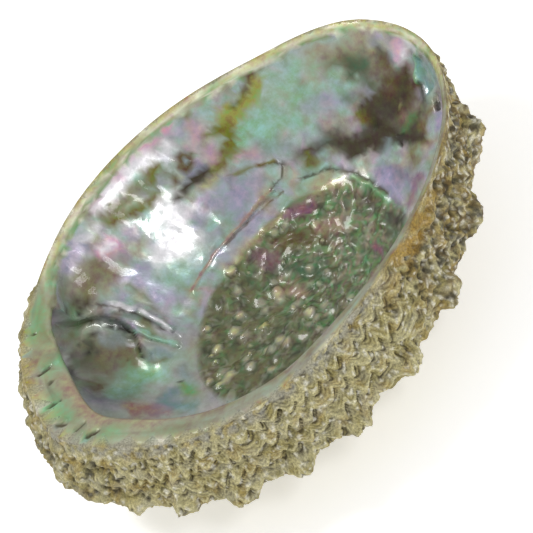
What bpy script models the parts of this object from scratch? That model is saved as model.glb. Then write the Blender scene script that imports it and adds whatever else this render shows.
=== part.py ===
"""Abalone shell lying on its back, mouth up: one closed solid grown in one piece.

Sizes are millimetres and degrees, and the mesh is in metres. +X runs to the front tip, -Y to the side of
the inner lip and the row of tubercles, and +Z up. Degrees run round the middle of the mouth from +X towards
+Y, or round the apex where that is said. The origin is the middle of the shell's box, on the surface that
it rests on.
"""

import math

import bmesh
import bpy
import numpy as np
from mathutils import Matrix

MM = 0.001

# Mesh: a sphere's meridians become sections of the shell and its parallels become rings
MERIDIANS = 360
RINGS_INSIDE = 80
RINGS_OUTSIDE = 110
FINAL_TRIANGLES = 9300
STEP = 0.25

# Rim: radius of its outer edge, its height, and how wide its top is from the thin outer lip to the ledge
RIM_RADIUS = ((8, 73.2), (26, 72.3), (55, 60.2), (87, 56.6), (121, 59.2), (148, 63.5), (162, 67.8), (178, 69.8),
              (194, 71.0), (208, 67.0), (231, 62.8), (252, 58.5), (278, 53.0), (306, 54.0), (327, 59.2),
              (348, 67.4))
RIM_HEIGHT = ((0, 42.0), (90, 43.0), (180, 41.0), (270, 41.5))
LEDGE_WIDTH = ((5, 2.0), (60, 1.3), (110, 1.4), (135, 2.4), (153, 7.5), (168, 11.0), (185, 12.0), (205, 11.5),
               (235, 10.0), (262, 6.5), (285, 4.2), (320, 3.0), (345, 2.8))
LEDGE_DIP = 0.20
LEDGE_EDGE = 1.8
LEDGE_REACH = 7.0
BOWL_START = 2.2
UNDERCUT = ((10, 0.0), (90, 0.0), (148, 0.0), (166, 1.0), (250, 1.0), (320, 0.7), (345, 0.3))

# Side wall: how far the keel below the rim stands out, and how far below the rim it lies
KEEL_OUT = ((5, -0.8), (35, 0.0), (90, 0.0), (138, 0.5), (160, 4.5), (178, 7.5), (196, 7.5), (215, 6.5), (235, 5.5),
            (270, 6.0), (300, 4.6), (325, 2.2), (345, 0.0))
KEEL_DROP = ((0, 10.0), (20, 4.0), (45, 1.0), (90, 0.0), (135, 1.0), (158, 9.0), (180, 16.0), (210, 19.5),
             (270, 21.0), (305, 20.0), (330, 17.5), (348, 14.5))
DOME_POWER = 2.25
DOME_LIFT = -0.9
OUTSIDE_SMOOTHING = 60
INSIDE_SMOOTHING = 14
SLOPE_SMOOTHING = 90

# Wall thickness from the lip inwards
LIP_THICKNESS = 1.3
WALL_THICKNESS = 4.8
THICKENING_LENGTH = 30.0

# Growth: the shell is a spiral about its apex that widens by this factor of e in each radian
APEX = (-47.0, 20.0)
WIDENING = 0.43
KEEL_SIZE = 4.975
LIP_REACH = ((-20, 124.6), (5, 112.0), (20, 85.0), (37, 61.0), (63, 34.0), (105, 21.0))

# Tubercles: one for each growth step along the keel, the last ones open
TUBERCLE_START = 346.5
TUBERCLE_STEP = 24.6
TUBERCLE_SHRINK = 0.93
TUBERCLE_COUNT = 12
TUBERCLES_SHOWN = 7
TUBERCLE_HEIGHT = 5.0
TUBERCLE_WIDTH = 5.0
TUBERCLE_WEAR = 0.65
SHELL_BEHIND_LIP = 0.93
OPEN_PORES = 3
PORE_RADIUS = 2.2
PORE_SLANT = 32.0
PORE_LENGTH = 26.0
PORE_TAPER = 0.8
PORE_INSET = 1.0
PORE_LIFT = 0.5

# Relief of the outside
FRILL_ROWS = 4.2
FRILLS_PER_STEP = 4
FRILL_HEIGHT = 1.9
FRILL_LIP = 0.84
FRILL_WAVE = 0.17
FRILL_WEAR = 0.9
CORD_DEGREES = 5.5
CORD_HEIGHT = 0.7
FOLD_DEGREES = 9.67
FOLD_START = 20.0
FOLD_HEIGHT = 1.3
CRUST_LUMP = 5.0
CRUST_HEIGHT = 0.9
SPIRE_RADIUS = 17.0
SPIRE_HEIGHT = 5.0
SUTURE_DEPTH = 1.6
SUTURE_WIDTH = 0.10
SUTURE_END = 34.0

# Spire pocket of the inside, by degrees round the apex: radius of its overhanging edge and the edge's slope
HOOK_RADIUS = ((-140, 13.0), (-90, 12.0), (-45, 8.5), (-20, 7.2), (15, 8.4), (47, 8.0), (104, 7.6), (140, 9.6),
               (178, 13.0))
HOOK_SLOPE = ((-140, 12.0), (-90, 15.0), (-45, 8.0), (-20, 1.8), (15, 0.9), (100, 0.9), (140, 1.2), (178, 5.0))
POCKET_DEPTH = 4.6
SUTURE_RIDGE = ((-180, 26.0), (-14, 17.0), (27, 11.7), (79, 9.2), (140, 8.6))
SUTURE_RIDGE_HEIGHT = 1.5
SUTURE_RIDGE_WIDTH = 1.4

# Muscle scar: an oval of pebbles on the floor of the bowl
SCAR_MIDDLE = (4.0, -1.0)
SCAR_HALF = (37.0, 26.0)
SCAR_TURN = 7.0
SCAR_RISE = 0.8
PEBBLE_SIZE = 4.5
PEBBLE_HEIGHT = 0.7


def ease(value):
    """Smooth step from 0 to 1 while the value runs from 0 to 1."""
    t = np.clip(value, 0.0, 1.0)
    return t * t * (3.0 - 2.0 * t)


def bell(value):
    """Rounded hump, 1 at 0 and near nothing from 2 outwards."""
    return np.exp(-np.square(value))


def around(stations, angle):
    """Value of a smooth closed curve through (degrees, value) stations at angles in radians."""
    place = np.radians([station[0] for station in stations])
    value = np.array([station[1] for station in stations], dtype=float)
    place = np.concatenate((place - math.tau, place, place + math.tau))
    value = np.tile(value, 3)
    slope = np.gradient(value, place)
    angle = np.mod(angle, math.tau)
    left = np.clip(np.searchsorted(place, angle) - 1, 0, len(place) - 2)
    gap = place[left + 1] - place[left]
    t = (angle - place[left]) / gap
    curve = value[left] + (value[left + 1] - value[left]) * ease(t)
    curve = curve + gap * slope[left] * t * (1.0 - t) ** 2
    return curve - gap * slope[left + 1] * t * t * (1.0 - t)


def rumple(points, size, seed):
    """Even random waves of about one size through space, mostly between -1 and 1."""
    draw = np.random.default_rng(seed)
    total = np.zeros(len(points))
    for _ in range(14):
        heading = draw.normal(size=3)
        heading /= np.linalg.norm(heading)
        wave = math.tau / (size * draw.uniform(0.75, 1.5))
        total += np.sin(points @ heading * wave + draw.uniform(0.0, math.tau))
    return total / math.sqrt(14.0)


def run_along(path):
    """Length run from the start of a path to each of its points."""
    return np.concatenate(([0.0], np.cumsum(np.linalg.norm(np.diff(path, axis=0), axis=1))))


def sampled(path, count):
    """A given number of evenly spaced points along a path, both ends included."""
    run = run_along(path)
    place = np.linspace(0.0, run[-1], count)
    return np.column_stack([np.interp(place, run, path[:, axis]) for axis in (0, 1)])


def relaxed(path, rounds):
    """The path at an even fine spacing with its corners rounded and its two ends kept."""
    path = sampled(path, int(run_along(path)[-1] / STEP) + 2)
    for _ in range(rounds):
        path[1:-1] += 0.25 * (path[:-2] + path[2:] - 2.0 * path[1:-1])
    return path


def outside_section(angle):
    """Section of the outside at one angle, from the rim's outer edge to the middle of the underside."""
    rim = around(RIM_RADIUS, angle)
    height = around(RIM_HEIGHT, angle)
    out = around(KEEL_OUT, angle)
    drop = max(around(KEEL_DROP, angle), 0.0)
    down = np.linspace(0.0, 1.0, 40)
    wall = np.column_stack((rim + out * np.sin(0.5 * np.pi * down), height - drop * down))
    inward = np.linspace(1.0, 0.0, 120)[1:]
    keel_height = height - drop - DOME_LIFT
    dome = np.column_stack(((rim + out) * inward, DOME_LIFT + keel_height * inward ** DOME_POWER))
    return relaxed(np.vstack((wall, dome)), OUTSIDE_SMOOTHING)


def inside_section(angle, outside):
    """Section of the inside at one angle, from the rim's outer edge over the ledge to the middle of the bowl."""
    rim = around(RIM_RADIUS, angle)
    height = around(RIM_HEIGHT, angle)
    width = around(LEDGE_WIDTH, angle)
    under = around(UNDERCUT, angle)
    edge = height - LEDGE_DIP * width
    ledge = np.array([
        (rim, height),
        (rim - 0.45 * width, height - 0.35 * LEDGE_DIP * width),
        (rim - width + 0.3, edge),
        (rim - width, edge - 0.2 - 0.5 * LEDGE_EDGE * under),
        (rim - width + 0.6 * under, edge - 0.3 - LEDGE_EDGE * under),
    ])
    along = np.gradient(outside, axis=0)
    along /= np.linalg.norm(along, axis=1)[:, None]
    depth = np.clip(run_along(outside) / THICKENING_LENGTH, 0.0, 1.0)
    thickness = LIP_THICKNESS + (WALL_THICKNESS - LIP_THICKNESS) * np.sqrt(depth)
    hollow = outside + thickness[:, None] * np.column_stack((along[:, 1], -along[:, 0]))
    low_enough = hollow[:, 1] < edge - 0.8 - (LEDGE_EDGE + 0.8) * under
    hollow = hollow[low_enough & (hollow[:, 0] > 0.5)]
    reach = rim - width + LEDGE_REACH * under - 0.5 * (1.0 - under)
    hollow[:, 0] = np.minimum(hollow[:, 0], reach)
    middle = np.array([(0.0, hollow[-1, 1])])
    rounds = int(INSIDE_SMOOTHING + SLOPE_SMOOTHING * (1.0 - np.clip(under, 0.0, 1.0)))
    return relaxed(np.vstack((ledge, hollow, middle)), rounds)


def bare_grid(meridians, rings_inside, rings_outside):
    """Grid of points: rings run from the middle of the bowl over the rim to the middle of the underside."""
    grid = np.empty((rings_inside + rings_outside + 1, meridians, 3))
    for index in range(meridians):
        angle = math.tau * index / meridians
        outside = outside_section(angle)
        inside = sampled(inside_section(angle, outside), rings_inside + 1)[::-1]
        section = np.vstack((inside, sampled(outside, rings_outside + 1)[1:]))
        grid[:, index, 0] = section[:, 0] * math.cos(angle)
        grid[:, index, 1] = section[:, 0] * math.sin(angle)
        grid[:, index, 2] = section[:, 1]
    return grid


def grid_normals(grid):
    """Outward direction at each point of the grid."""
    down = np.gradient(grid, axis=0)
    turn = np.roll(grid, -1, axis=1) - np.roll(grid, 1, axis=1)
    normal = np.cross(turn, down)
    length = np.linalg.norm(normal, axis=2, keepdims=True)
    normal = -normal / np.maximum(length, 1e-9)
    normal[0] = (0.0, 0.0, 1.0)
    normal[-1] = (0.0, 0.0, -1.0)
    return normal


def growth(points):
    """Place in the spiral of each point: distance from the apex, size, and degrees along and across growth."""
    offset = points[:, :2] - np.array(APEX)
    reach = np.maximum(np.linalg.norm(offset, axis=1), 0.3)
    turn = np.arctan2(offset[:, 1], offset[:, 0])
    size = np.log(reach) - WIDENING * turn
    whorl = np.floor((KEEL_SIZE - size) / (WIDENING * math.tau))
    size = size + whorl * WIDENING * math.tau
    lip = np.radians([station[0] for station in LIP_REACH])
    lip_size = np.log([station[1] for station in LIP_REACH]) - WIDENING * lip
    across = np.interp(size, lip_size[::-1], lip[::-1])
    along = turn - whorl * math.tau - across
    return reach, size, np.degrees(along), np.degrees(across)


def keel_steps(meridians):
    """Growth steps counted back from the newest tubercle along the keel, one value for each meridian."""
    angle = math.tau * np.arange(meridians) / meridians
    radius = around(RIM_RADIUS, angle) + around(KEEL_OUT, angle)
    behind = np.mod(math.radians(TUBERCLE_START) - angle, math.tau)
    behind = np.where(behind > math.tau * SHELL_BEHIND_LIP, behind - math.tau, behind)
    order = np.argsort(behind)
    keel = np.column_stack((radius * np.cos(angle), radius * np.sin(angle)))[order]
    run = run_along(keel)
    run -= np.interp(0.0, behind[order], run)
    left = np.clip(1.0 - run * (1.0 - TUBERCLE_SHRINK) / TUBERCLE_STEP, 0.02, None)
    steps = np.empty(meridians)
    steps[order] = np.log(left) / math.log(TUBERCLE_SHRINK)
    return steps


def frill(place):
    """Cross-section of overlapping scales: each swells downwards to its lip and then falls away."""
    part = np.mod(place, 1.0)
    return np.where(part < FRILL_LIP, (part / FRILL_LIP) ** 1.6, (1.0 - part) / (1.0 - FRILL_LIP))


def outside_relief(points, run, wall_length, steps):
    """Height of the crust over the plain outside at each point."""
    reach, size, along, across = growth(points)
    scale = np.clip(reach / 120.0, 0.02, 1.0)
    place = run / np.maximum(wall_length, 3.0)
    walled = ease((wall_length - 5.0) / 8.0)
    on_wall = walled * ease((1.12 - place) / 0.14)
    fade_in = ease(run / 3.5)

    row = place * FRILL_ROWS
    wander = 0.25 * rumple(points, 11.0, 3)
    wave = np.sin(math.tau * FRILLS_PER_STEP * steps + 2.4 * np.floor(row + 0.5))
    scales = frill(row + FRILL_WAVE * wave + wander) * (0.75 + 0.25 * wave)
    wall = FRILL_HEIGHT * (scales - 0.35) * np.clip(FRILL_WEAR ** steps, 0.25, 1.0) ** 0.5

    fold = np.cos(math.tau * (along - FOLD_START) / FOLD_DEGREES + 0.5 * rumple(points, 30.0, 5))
    cord = np.cos(math.tau * across / CORD_DEGREES + 0.4 * rumple(points, 18.0, 6))
    dome = FOLD_HEIGHT * fold * scale ** 0.8 + CORD_HEIGHT * cord * scale ** 0.6
    spire = SPIRE_HEIGHT * bell(reach / SPIRE_RADIUS)
    whorl = WIDENING * math.tau
    seam = np.mod(size - KEEL_SIZE + 0.5 * whorl, whorl) - 0.5 * whorl
    spire = spire - SUTURE_DEPTH * bell(seam / SUTURE_WIDTH) * ease((SUTURE_END - reach) / 20.0)

    relief = on_wall * wall + (1.0 - on_wall) * (dome + spire)
    relief += CRUST_HEIGHT * rumple(points, CRUST_LUMP, 8) * (0.35 + 0.65 * on_wall)

    nearest = np.clip(np.round(steps), 0, TUBERCLE_COUNT)
    shrink = TUBERCLE_SHRINK ** nearest
    sideways = (steps - nearest) * TUBERCLE_STEP * shrink
    downwards = run - wall_length
    hump = bell(np.hypot(sideways, 0.85 * downwards) / (TUBERCLE_WIDTH * shrink))
    worn = 1.0 - TUBERCLE_WEAR * ease((nearest - TUBERCLES_SHOWN) / 2.0)
    relief += walled * worn * TUBERCLE_HEIGHT * shrink ** 0.8 * hump
    return relief * fade_in


def inside_relief(points, run, inner):
    """Height of the inside over its plain surface at each point; inner is 0 on the ledge and 1 in the bowl."""
    offset = points[:, :2] - np.array(APEX)
    reach = np.linalg.norm(offset, axis=1)
    turn = np.arctan2(offset[:, 1], offset[:, 0])
    hook = around(HOOK_RADIUS, turn)
    slope = around(HOOK_SLOPE, turn)
    pocket = 1.0 - ease((reach - hook) / slope + 0.5)
    relief = -POCKET_DEPTH * pocket

    ridge = around(SUTURE_RIDGE, turn)
    held = ease((turn + 0.55) / 0.5) * ease((1.75 - turn) / 0.4)
    relief += SUTURE_RIDGE_HEIGHT * held * bell((reach - ridge) / SUTURE_RIDGE_WIDTH)

    tilt = math.radians(SCAR_TURN)
    east = points[:, 0] - SCAR_MIDDLE[0]
    north = points[:, 1] - SCAR_MIDDLE[1]
    oval = np.hypot((east * math.cos(tilt) + north * math.sin(tilt)) / SCAR_HALF[0],
                    (north * math.cos(tilt) - east * math.sin(tilt)) / SCAR_HALF[1])
    scar = ease((1.04 - oval) / 0.08)
    relief += scar * (SCAR_RISE + PEBBLE_HEIGHT * rumple(points, PEBBLE_SIZE, 11))
    return relief * inner * ease(run / 4.0)


def carved_grid(meridians, rings_inside, rings_outside):
    """The grid of points with all relief on it."""
    grid = bare_grid(meridians, rings_inside, rings_outside)
    normal = grid_normals(grid)
    steps = keel_steps(meridians)
    angle = math.tau * np.arange(meridians) / meridians
    wall_length = np.hypot(around(KEEL_OUT, angle), np.maximum(around(KEEL_DROP, angle), 0.0))
    height = around(RIM_HEIGHT, angle)
    width = around(LEDGE_WIDTH, angle)
    under = around(UNDERCUT, angle)

    stretch = np.linalg.norm(np.diff(grid, axis=0), axis=2)
    rise = np.zeros(grid.shape[:2])
    run = np.zeros(grid.shape[:2])
    run[rings_inside + 1:] = np.cumsum(stretch[rings_inside:], axis=0)
    run[:rings_inside] = np.cumsum(stretch[:rings_inside][::-1], axis=0)[::-1]
    for ring in range(len(grid)):
        if ring > rings_inside:
            rise[ring] = outside_relief(grid[ring], run[ring], wall_length, steps)
        elif ring < rings_inside:
            below = height - LEDGE_DIP * width - BOWL_START * under - grid[ring, :, 2]
            past_ledge = ease(below / 3.0)
            rise[ring] = inside_relief(grid[ring], run[ring], past_ledge)
    return grid + normal * rise[:, :, None]


def shell_mesh():
    """Mesh of the whole shell: a sphere whose points are moved to the grid."""
    rings = RINGS_INSIDE + RINGS_OUTSIDE
    form = bmesh.new()
    bmesh.ops.create_uvsphere(form, u_segments=MERIDIANS, v_segments=rings, radius=1.0)
    grid = carved_grid(MERIDIANS, RINGS_INSIDE, RINGS_OUTSIDE)
    for vert in form.verts:
        ring = round(math.acos(max(-1.0, min(1.0, vert.co.z))) / math.pi * rings)
        turn = math.atan2(vert.co.y, vert.co.x) / math.tau
        vert.co = grid[ring, round(turn * MERIDIANS) % MERIDIANS] * MM
    mesh = bpy.data.meshes.new("shell")
    form.to_mesh(mesh)
    form.free()
    return mesh


def cutter(name, form):
    """Object of a bmesh form that is only there to be cut away."""
    mesh = bpy.data.meshes.new(name)
    form.to_mesh(mesh)
    form.free()
    item = bpy.data.objects.new(name, mesh)
    item.hide_render = True
    item.display_type = "WIRE"
    bpy.context.scene.collection.objects.link(item)
    return item


def cut(body, tool):
    """Boolean cut of a tool from the body."""
    change = body.modifiers.new("cut " + tool.name, "BOOLEAN")
    change.operation = "DIFFERENCE"
    change.solver = "EXACT"
    change.object = tool


def pore_cutter():
    """Slightly tapered pegs through the wall at the newest tubercles, which are still open."""
    angle = math.tau * np.arange(MERIDIANS) / MERIDIANS
    steps = keel_steps(MERIDIANS)
    form = bmesh.new()
    for pore in range(OPEN_PORES):
        turn = angle[np.argmin(np.abs(steps - pore))]
        radius = float(around(RIM_RADIUS, turn) + around(KEEL_OUT, turn))
        height = float(around(RIM_HEIGHT, turn) - around(KEEL_DROP, turn))
        bore = PORE_RADIUS * TUBERCLE_SHRINK ** pore * MM
        place = Matrix.Rotation(turn, 4, "Z")
        place @= Matrix.Translation(((radius - PORE_INSET) * MM, 0.0, (height + PORE_LIFT) * MM))
        place @= Matrix.Rotation(math.radians(90.0 + PORE_SLANT), 4, "Y")
        bmesh.ops.create_cone(form, cap_ends=True, segments=14, radius1=bore, radius2=PORE_TAPER * bore,
                              depth=PORE_LENGTH * MM, matrix=place)
    return cutter("pores", form)


def ground_cutter():
    """Block under the resting surface: what it takes off leaves the worn flats that the shell rests on."""
    form = bmesh.new()
    size = Matrix.Diagonal((0.3, 0.3, 0.02, 1.0))
    bmesh.ops.create_cube(form, size=1.0, matrix=Matrix.Translation((0.0, 0.0, -0.01)) @ size)
    return cutter("ground", form)


def shell_material():
    """Matt, pale olive lime crust: the colour that most of the shell shows."""
    material = bpy.data.materials.new("shell")
    material.use_nodes = True
    shader = material.node_tree.nodes["Principled BSDF"]
    shader.inputs["Base Color"].default_value = (0.42, 0.37, 0.26, 1.0)
    shader.inputs["Roughness"].default_value = 0.55
    shader.inputs["Metallic"].default_value = 0.0
    return material


def main():
    for item in list(bpy.data.objects):
        bpy.data.objects.remove(item, do_unlink=True)
    growing = bpy.data.objects.new("growing", shell_mesh())
    bpy.context.scene.collection.objects.link(growing)
    fewer = growing.modifiers.new("fewer faces", "DECIMATE")
    fewer.ratio = FINAL_TRIANGLES / (2 * MERIDIANS * (RINGS_INSIDE + RINGS_OUTSIDE - 1))
    cut(growing, pore_cutter())
    cut(growing, ground_cutter())

    finished = growing.evaluated_get(bpy.context.evaluated_depsgraph_get())
    mesh = bpy.data.meshes.new_from_object(finished)
    for item in list(bpy.data.objects):
        bpy.data.objects.remove(item, do_unlink=True)
    place = np.array([vert.co[:] for vert in mesh.vertices])
    middle = 0.5 * (place.min(axis=0) + place.max(axis=0))
    mesh.transform(Matrix.Translation((-middle[0], -middle[1], 0.0)))
    mesh.materials.clear()
    mesh.materials.append(shell_material())
    mesh.shade_smooth()
    shell = bpy.data.objects.new("shell", mesh)
    bpy.context.scene.collection.objects.link(shell)


main()
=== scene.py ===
"""Looks of the abalone shell: one shell of nacre and lime crust, lying mouth up on a pale studio floor.

The shell is grown from the same sections and the same spiral as the solid that it replaces, with the finer
relief and the colours that only a close look shows. Lengths are millimetres and angles degrees round the
middle of the mouth, unless a comment says otherwise; meshes are in metres.
"""

import logging
import math
from dataclasses import dataclass, field
from enum import Enum

import bpy
import numpy as np
from mathutils import Matrix, Vector
from mathutils.kdtree import KDTree


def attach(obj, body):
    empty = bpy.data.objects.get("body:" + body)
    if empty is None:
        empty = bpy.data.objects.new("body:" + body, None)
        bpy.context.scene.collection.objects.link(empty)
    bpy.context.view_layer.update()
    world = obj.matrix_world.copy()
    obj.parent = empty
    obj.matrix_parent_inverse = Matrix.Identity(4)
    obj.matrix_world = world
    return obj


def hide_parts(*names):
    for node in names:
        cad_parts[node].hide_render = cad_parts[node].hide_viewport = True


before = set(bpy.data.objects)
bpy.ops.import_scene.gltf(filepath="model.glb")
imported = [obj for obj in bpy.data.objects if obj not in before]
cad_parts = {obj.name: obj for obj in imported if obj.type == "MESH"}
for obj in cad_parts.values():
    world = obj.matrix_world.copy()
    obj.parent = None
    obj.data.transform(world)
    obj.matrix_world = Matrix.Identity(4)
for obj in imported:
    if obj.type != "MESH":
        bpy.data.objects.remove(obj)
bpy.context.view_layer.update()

MM = 0.001

# Parts that each edge of the starting sphere is cut into, waves in each random field, and the height
# that stands for no scale at all
SPHERE_SPLIT = 6
WAVES = 14
FAR_BELOW = -9.0

LOG = logging.getLogger("abalone")

Stations = tuple[tuple[float, float], ...]
Route = tuple[tuple[float, float], ...]


def linear(code: str) -> tuple[float, float, float]:
    """Turn an sRGB hex colour to linear light.

    Args:
        code: the colour as #RRGGBB.

    Returns:
        Red, green and blue from 0 to 1.
    """
    parts = [int(code[place:place + 2], 16) / 255.0 for place in (1, 3, 5)]
    return tuple(part / 12.92 if part <= 0.04045 else ((part + 0.055) / 1.055) ** 2.4 for part in parts)


def ease(value: np.ndarray) -> np.ndarray:
    """Smooth step from 0 to 1 while the value runs from 0 to 1."""
    t = np.clip(value, 0.0, 1.0)
    return t * t * (3.0 - 2.0 * t)


def bell(value: np.ndarray) -> np.ndarray:
    """Rounded hump, 1 at 0 and near nothing from 2 outwards."""
    return np.exp(-np.square(value))


def between(value: np.ndarray, start: float, rise: float, end: float, fall: float) -> np.ndarray:
    """Smooth window, 0 up to the start and from the end on.

    Args:
        value: where it is read.
        start: where it leaves 0.
        rise: how far it takes to reach 1.
        end: where it is back at 0.
        fall: how far before the end it leaves 1.

    Returns:
        The window's height at each value, from 0 to 1.
    """
    return ease((value - start) / rise) * ease((end - value) / fall)


def around(stations: Stations, angle: np.ndarray) -> np.ndarray:
    """Read a smooth closed curve through stations.

    Args:
        stations: pairs of degrees and value.
        angle: angles in radians.

    Returns:
        The curve's value at each angle.
    """
    place = np.radians([station[0] for station in stations])
    value = np.array([station[1] for station in stations], dtype=float)
    place = np.concatenate((place - math.tau, place, place + math.tau))
    value = np.tile(value, 3)
    slope = np.gradient(value, place)
    angle = np.mod(angle, math.tau)
    left = np.clip(np.searchsorted(place, angle) - 1, 0, len(place) - 2)
    gap = place[left + 1] - place[left]
    t = (angle - place[left]) / gap
    curve = value[left] + (value[left + 1] - value[left]) * ease(t)
    curve = curve + gap * slope[left] * t * (1.0 - t) ** 2
    return curve - gap * slope[left + 1] * t * t * (1.0 - t)


def rumple(points: np.ndarray, size: float, seed: int) -> np.ndarray:
    """Fill space with even random waves.

    Args:
        points: places in millimetres.
        size: the waves' usual length.
        seed: which waves are drawn.

    Returns:
        The sum of the waves at each place, mostly between -1 and 1.
    """
    draw = np.random.default_rng(seed)
    total = np.zeros(len(points))
    for _ in range(WAVES):
        heading = draw.normal(size=3)
        heading /= np.linalg.norm(heading)
        wave = math.tau / (size * draw.uniform(0.75, 1.5))
        total += np.sin(points @ heading * wave + draw.uniform(0.0, math.tau))
    return total / math.sqrt(WAVES)


def run_along(path: np.ndarray) -> np.ndarray:
    """Length run from the start of a path to each of its points."""
    return np.concatenate(([0.0], np.cumsum(np.linalg.norm(np.diff(path, axis=0), axis=1))))


def sampled(path: np.ndarray, shares: np.ndarray) -> np.ndarray:
    """Points of a path at given shares of its length, from 0 to 1."""
    run = run_along(path)
    return np.column_stack([np.interp(shares * run[-1], run, path[:, axis]) for axis in (0, 1)])


def on_surface(route: Route, points: np.ndarray) -> np.ndarray:
    """Lift a route seen from above to the surface.

    Args:
        route: one point, or the corners of a path.
        points: the surface's points.

    Returns:
        The surface's point at each corner, and the same point twice for a route of one.
    """
    corners = []
    for east, north in route:
        corners.append(points[np.argmin(np.hypot(points[:, 0] - east, points[:, 1] - north))])
    return np.array(corners if len(corners) > 1 else corners * 2)


def distance_to(path: np.ndarray, points: np.ndarray) -> np.ndarray:
    """Measure how far points lie from a path.

    Args:
        path: the path's corners.
        points: the points to measure.

    Returns:
        The distance of each point from the nearest part of the path.
    """
    nearest = np.full(len(points), np.inf)
    for start, end in zip(path[:-1], path[1:]):
        step = end - start
        share = np.clip((points - start) @ step / max(step @ step, 1e-9), 0.0, 1.0)
        nearest = np.minimum(nearest, np.linalg.norm(points - start - share[:, None] * step, axis=1))
    return nearest


def search_tree(points: np.ndarray) -> KDTree:
    """Sort points for a quick search by place.

    Args:
        points: the points.

    Returns:
        The search tree, which numbers the points in their order.
    """
    tree = KDTree(len(points))
    for index, point in enumerate(points):
        tree.insert(point, index)
    tree.balance()
    return tree


def corners_of(mesh: bpy.types.Mesh) -> np.ndarray:
    """Read where a mesh's corners lie.

    Args:
        mesh: the mesh.

    Returns:
        One row for each corner, in metres.
    """
    place = np.empty(len(mesh.vertices) * 3)
    mesh.vertices.foreach_get("co", place)
    return place.reshape(-1, 3)


def start_material(name: str) -> tuple[bpy.types.Material, bpy.types.Node]:
    """Make a material with one shader.

    Args:
        name: the material's name.

    Returns:
        The material and its shader.
    """
    material = bpy.data.materials.new(name)
    material.use_nodes = True
    return material, material.node_tree.nodes["Principled BSDF"]


def add(tree: bpy.types.NodeTree, kind: str, inputs: dict, **settings) -> bpy.types.Node:
    """Add one node with its settings and links.

    Args:
        tree: the node tree.
        kind: the node's type without the word ShaderNode.
        inputs: a value or an output socket for each input socket, by name or number.
        settings: properties of the node itself.

    Returns:
        The new node.
    """
    made = tree.nodes.new("ShaderNode" + kind)
    for name, value in settings.items():
        setattr(made, name, value)
    for name, value in inputs.items():
        if isinstance(value, bpy.types.NodeSocket):
            tree.links.new(value, made.inputs[name])
        else:
            made.inputs[name].default_value = value
    return made


class Region(Enum):
    """Parts of the shell's surface, by what covers them."""

    BOWL = 0
    LEDGE = 1
    CRUST = 2


class Paint(Enum):
    """Colours of the shell, in sRGB."""

    SILVER = "#C3C8CA"
    # Painted highlight: bright white laid where the gloss of the nacre shines
    PEARL = "#F4F2F6"
    HAZE = "#A09F94"
    AQUA = "#A8D0BC"
    GREEN = "#8FBF90"
    LEAF = "#6E9A66"
    TEAL = "#5F8A86"
    STEEL = "#8C9A9E"
    LILAC = "#B0A8C4"
    PINK = "#E2A9C6"
    VIOLET = "#7E7790"
    MAGENTA = "#87566F"
    ROSE = "#A58A7C"
    CORAL = "#A07662"
    SAND = "#B3A582"
    DRAB = "#75653F"
    OLIVE = "#726C2C"
    LIME = "#A3A860"
    MOSS = "#66643F"
    PINE = "#42573F"
    BROWN = "#58421C"
    UMBER = "#33270E"
    CHARCOAL = "#3A3D36"
    SOOT = "#231F12"
    KHAKI = "#9E935A"
    STRAW = "#D0C898"
    CHALK = "#EEEBDA"
    OCHRE = "#A68531"


# Paints of stains and of painted shade, which leave the surface dull where they cover it
STAINS_AND_PAINTED_SHADE = (Paint.OLIVE, Paint.MOSS, Paint.BROWN, Paint.UMBER, Paint.CHARCOAL, Paint.SOOT, Paint.DRAB)

# A mark's edge wanders by this share of its width, up to a width of 3 mm
RAGGEDNESS = 0.45
WIDEST_RAGGED = 3.0


@dataclass(frozen=True)
class Mark:
    """A stain, tint, ridge, painted highlight or painted shadow drawn on one region along a route seen from
    above.

    A route of one point is a round spot. The blur runs from 0, a crisp edge, to 1, a soft cloud.
    """

    paint: Paint
    route: Route
    width: float
    strength: float = 0.8
    blur: float = 0.7
    rise: float = 0.0

    def cover(self, points: np.ndarray, warp: np.ndarray) -> np.ndarray:
        """Share of each place that the mark covers, from 0 to 1.

        Args:
            points: places in millimetres.
            warp: a random shift of each place, which makes the mark's edge ragged.

        Returns:
            The cover at each place.
        """
        ragged = RAGGEDNESS * min(self.width, WIDEST_RAGGED)
        away = distance_to(on_surface(self.route, points), points + ragged * warp)
        return ease((1.0 + self.blur - away / self.width) / (2.0 * self.blur))


def ragged_edges(points: np.ndarray) -> np.ndarray:
    """A random shift of each place, in waves of 6 mm with 2 mm ones on them."""
    return np.column_stack([rumple(points, 6.0, seed) + 0.35 * rumple(points, 2.0, seed + 3)
                            for seed in (901, 902, 903)])


class Canvas:
    """Colour and dullness of some of the shell's points, painted layer by layer."""

    def __init__(self, points: np.ndarray, ground: Paint) -> None:
        """Cover the points with one paint.

        Args:
            points: places in millimetres.
            ground: the first paint.
        """
        self.points = points
        self.colour = np.tile(np.array(linear(ground.value)), (len(points), 1))
        self.dull = np.zeros(len(points))
        self.warp = ragged_edges(points)

    def lay(self, paint: Paint, share: np.ndarray) -> None:
        """Lay a paint over the colour so far, as strongly as its share at each point."""
        self.colour += (np.array(linear(paint.value)) - self.colour) * share[:, None]

    def dapple(self, paint: Paint, strength: float, size: float, seed: int, spread: float = 0.5) -> None:
        """Lay a paint in random soft patches.

        Args:
            paint: the paint.
            strength: its share in the middle of a patch.
            size: the patches' usual size.
            seed: which patches are drawn.
            spread: how much they cover, about 0.5 for half.
        """
        self.lay(paint, strength * ease(spread + 0.9 * rumple(self.points, size, seed)))

    def draw(self, mark: Mark) -> None:
        """Draw one mark, dull where it is a stain or painted shade.

        Args:
            mark: the mark.
        """
        cover = mark.strength * mark.cover(self.points, self.warp)
        self.lay(mark.paint, cover)
        if mark.paint in STAINS_AND_PAINTED_SHADE:
            self.dull = np.maximum(self.dull, cover)


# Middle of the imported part's box, seen from the middle of the mouth, about which the shell is drawn
GROWTH_MIDDLE = np.array((-3.1018, -4.3676, 0.0))

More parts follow.
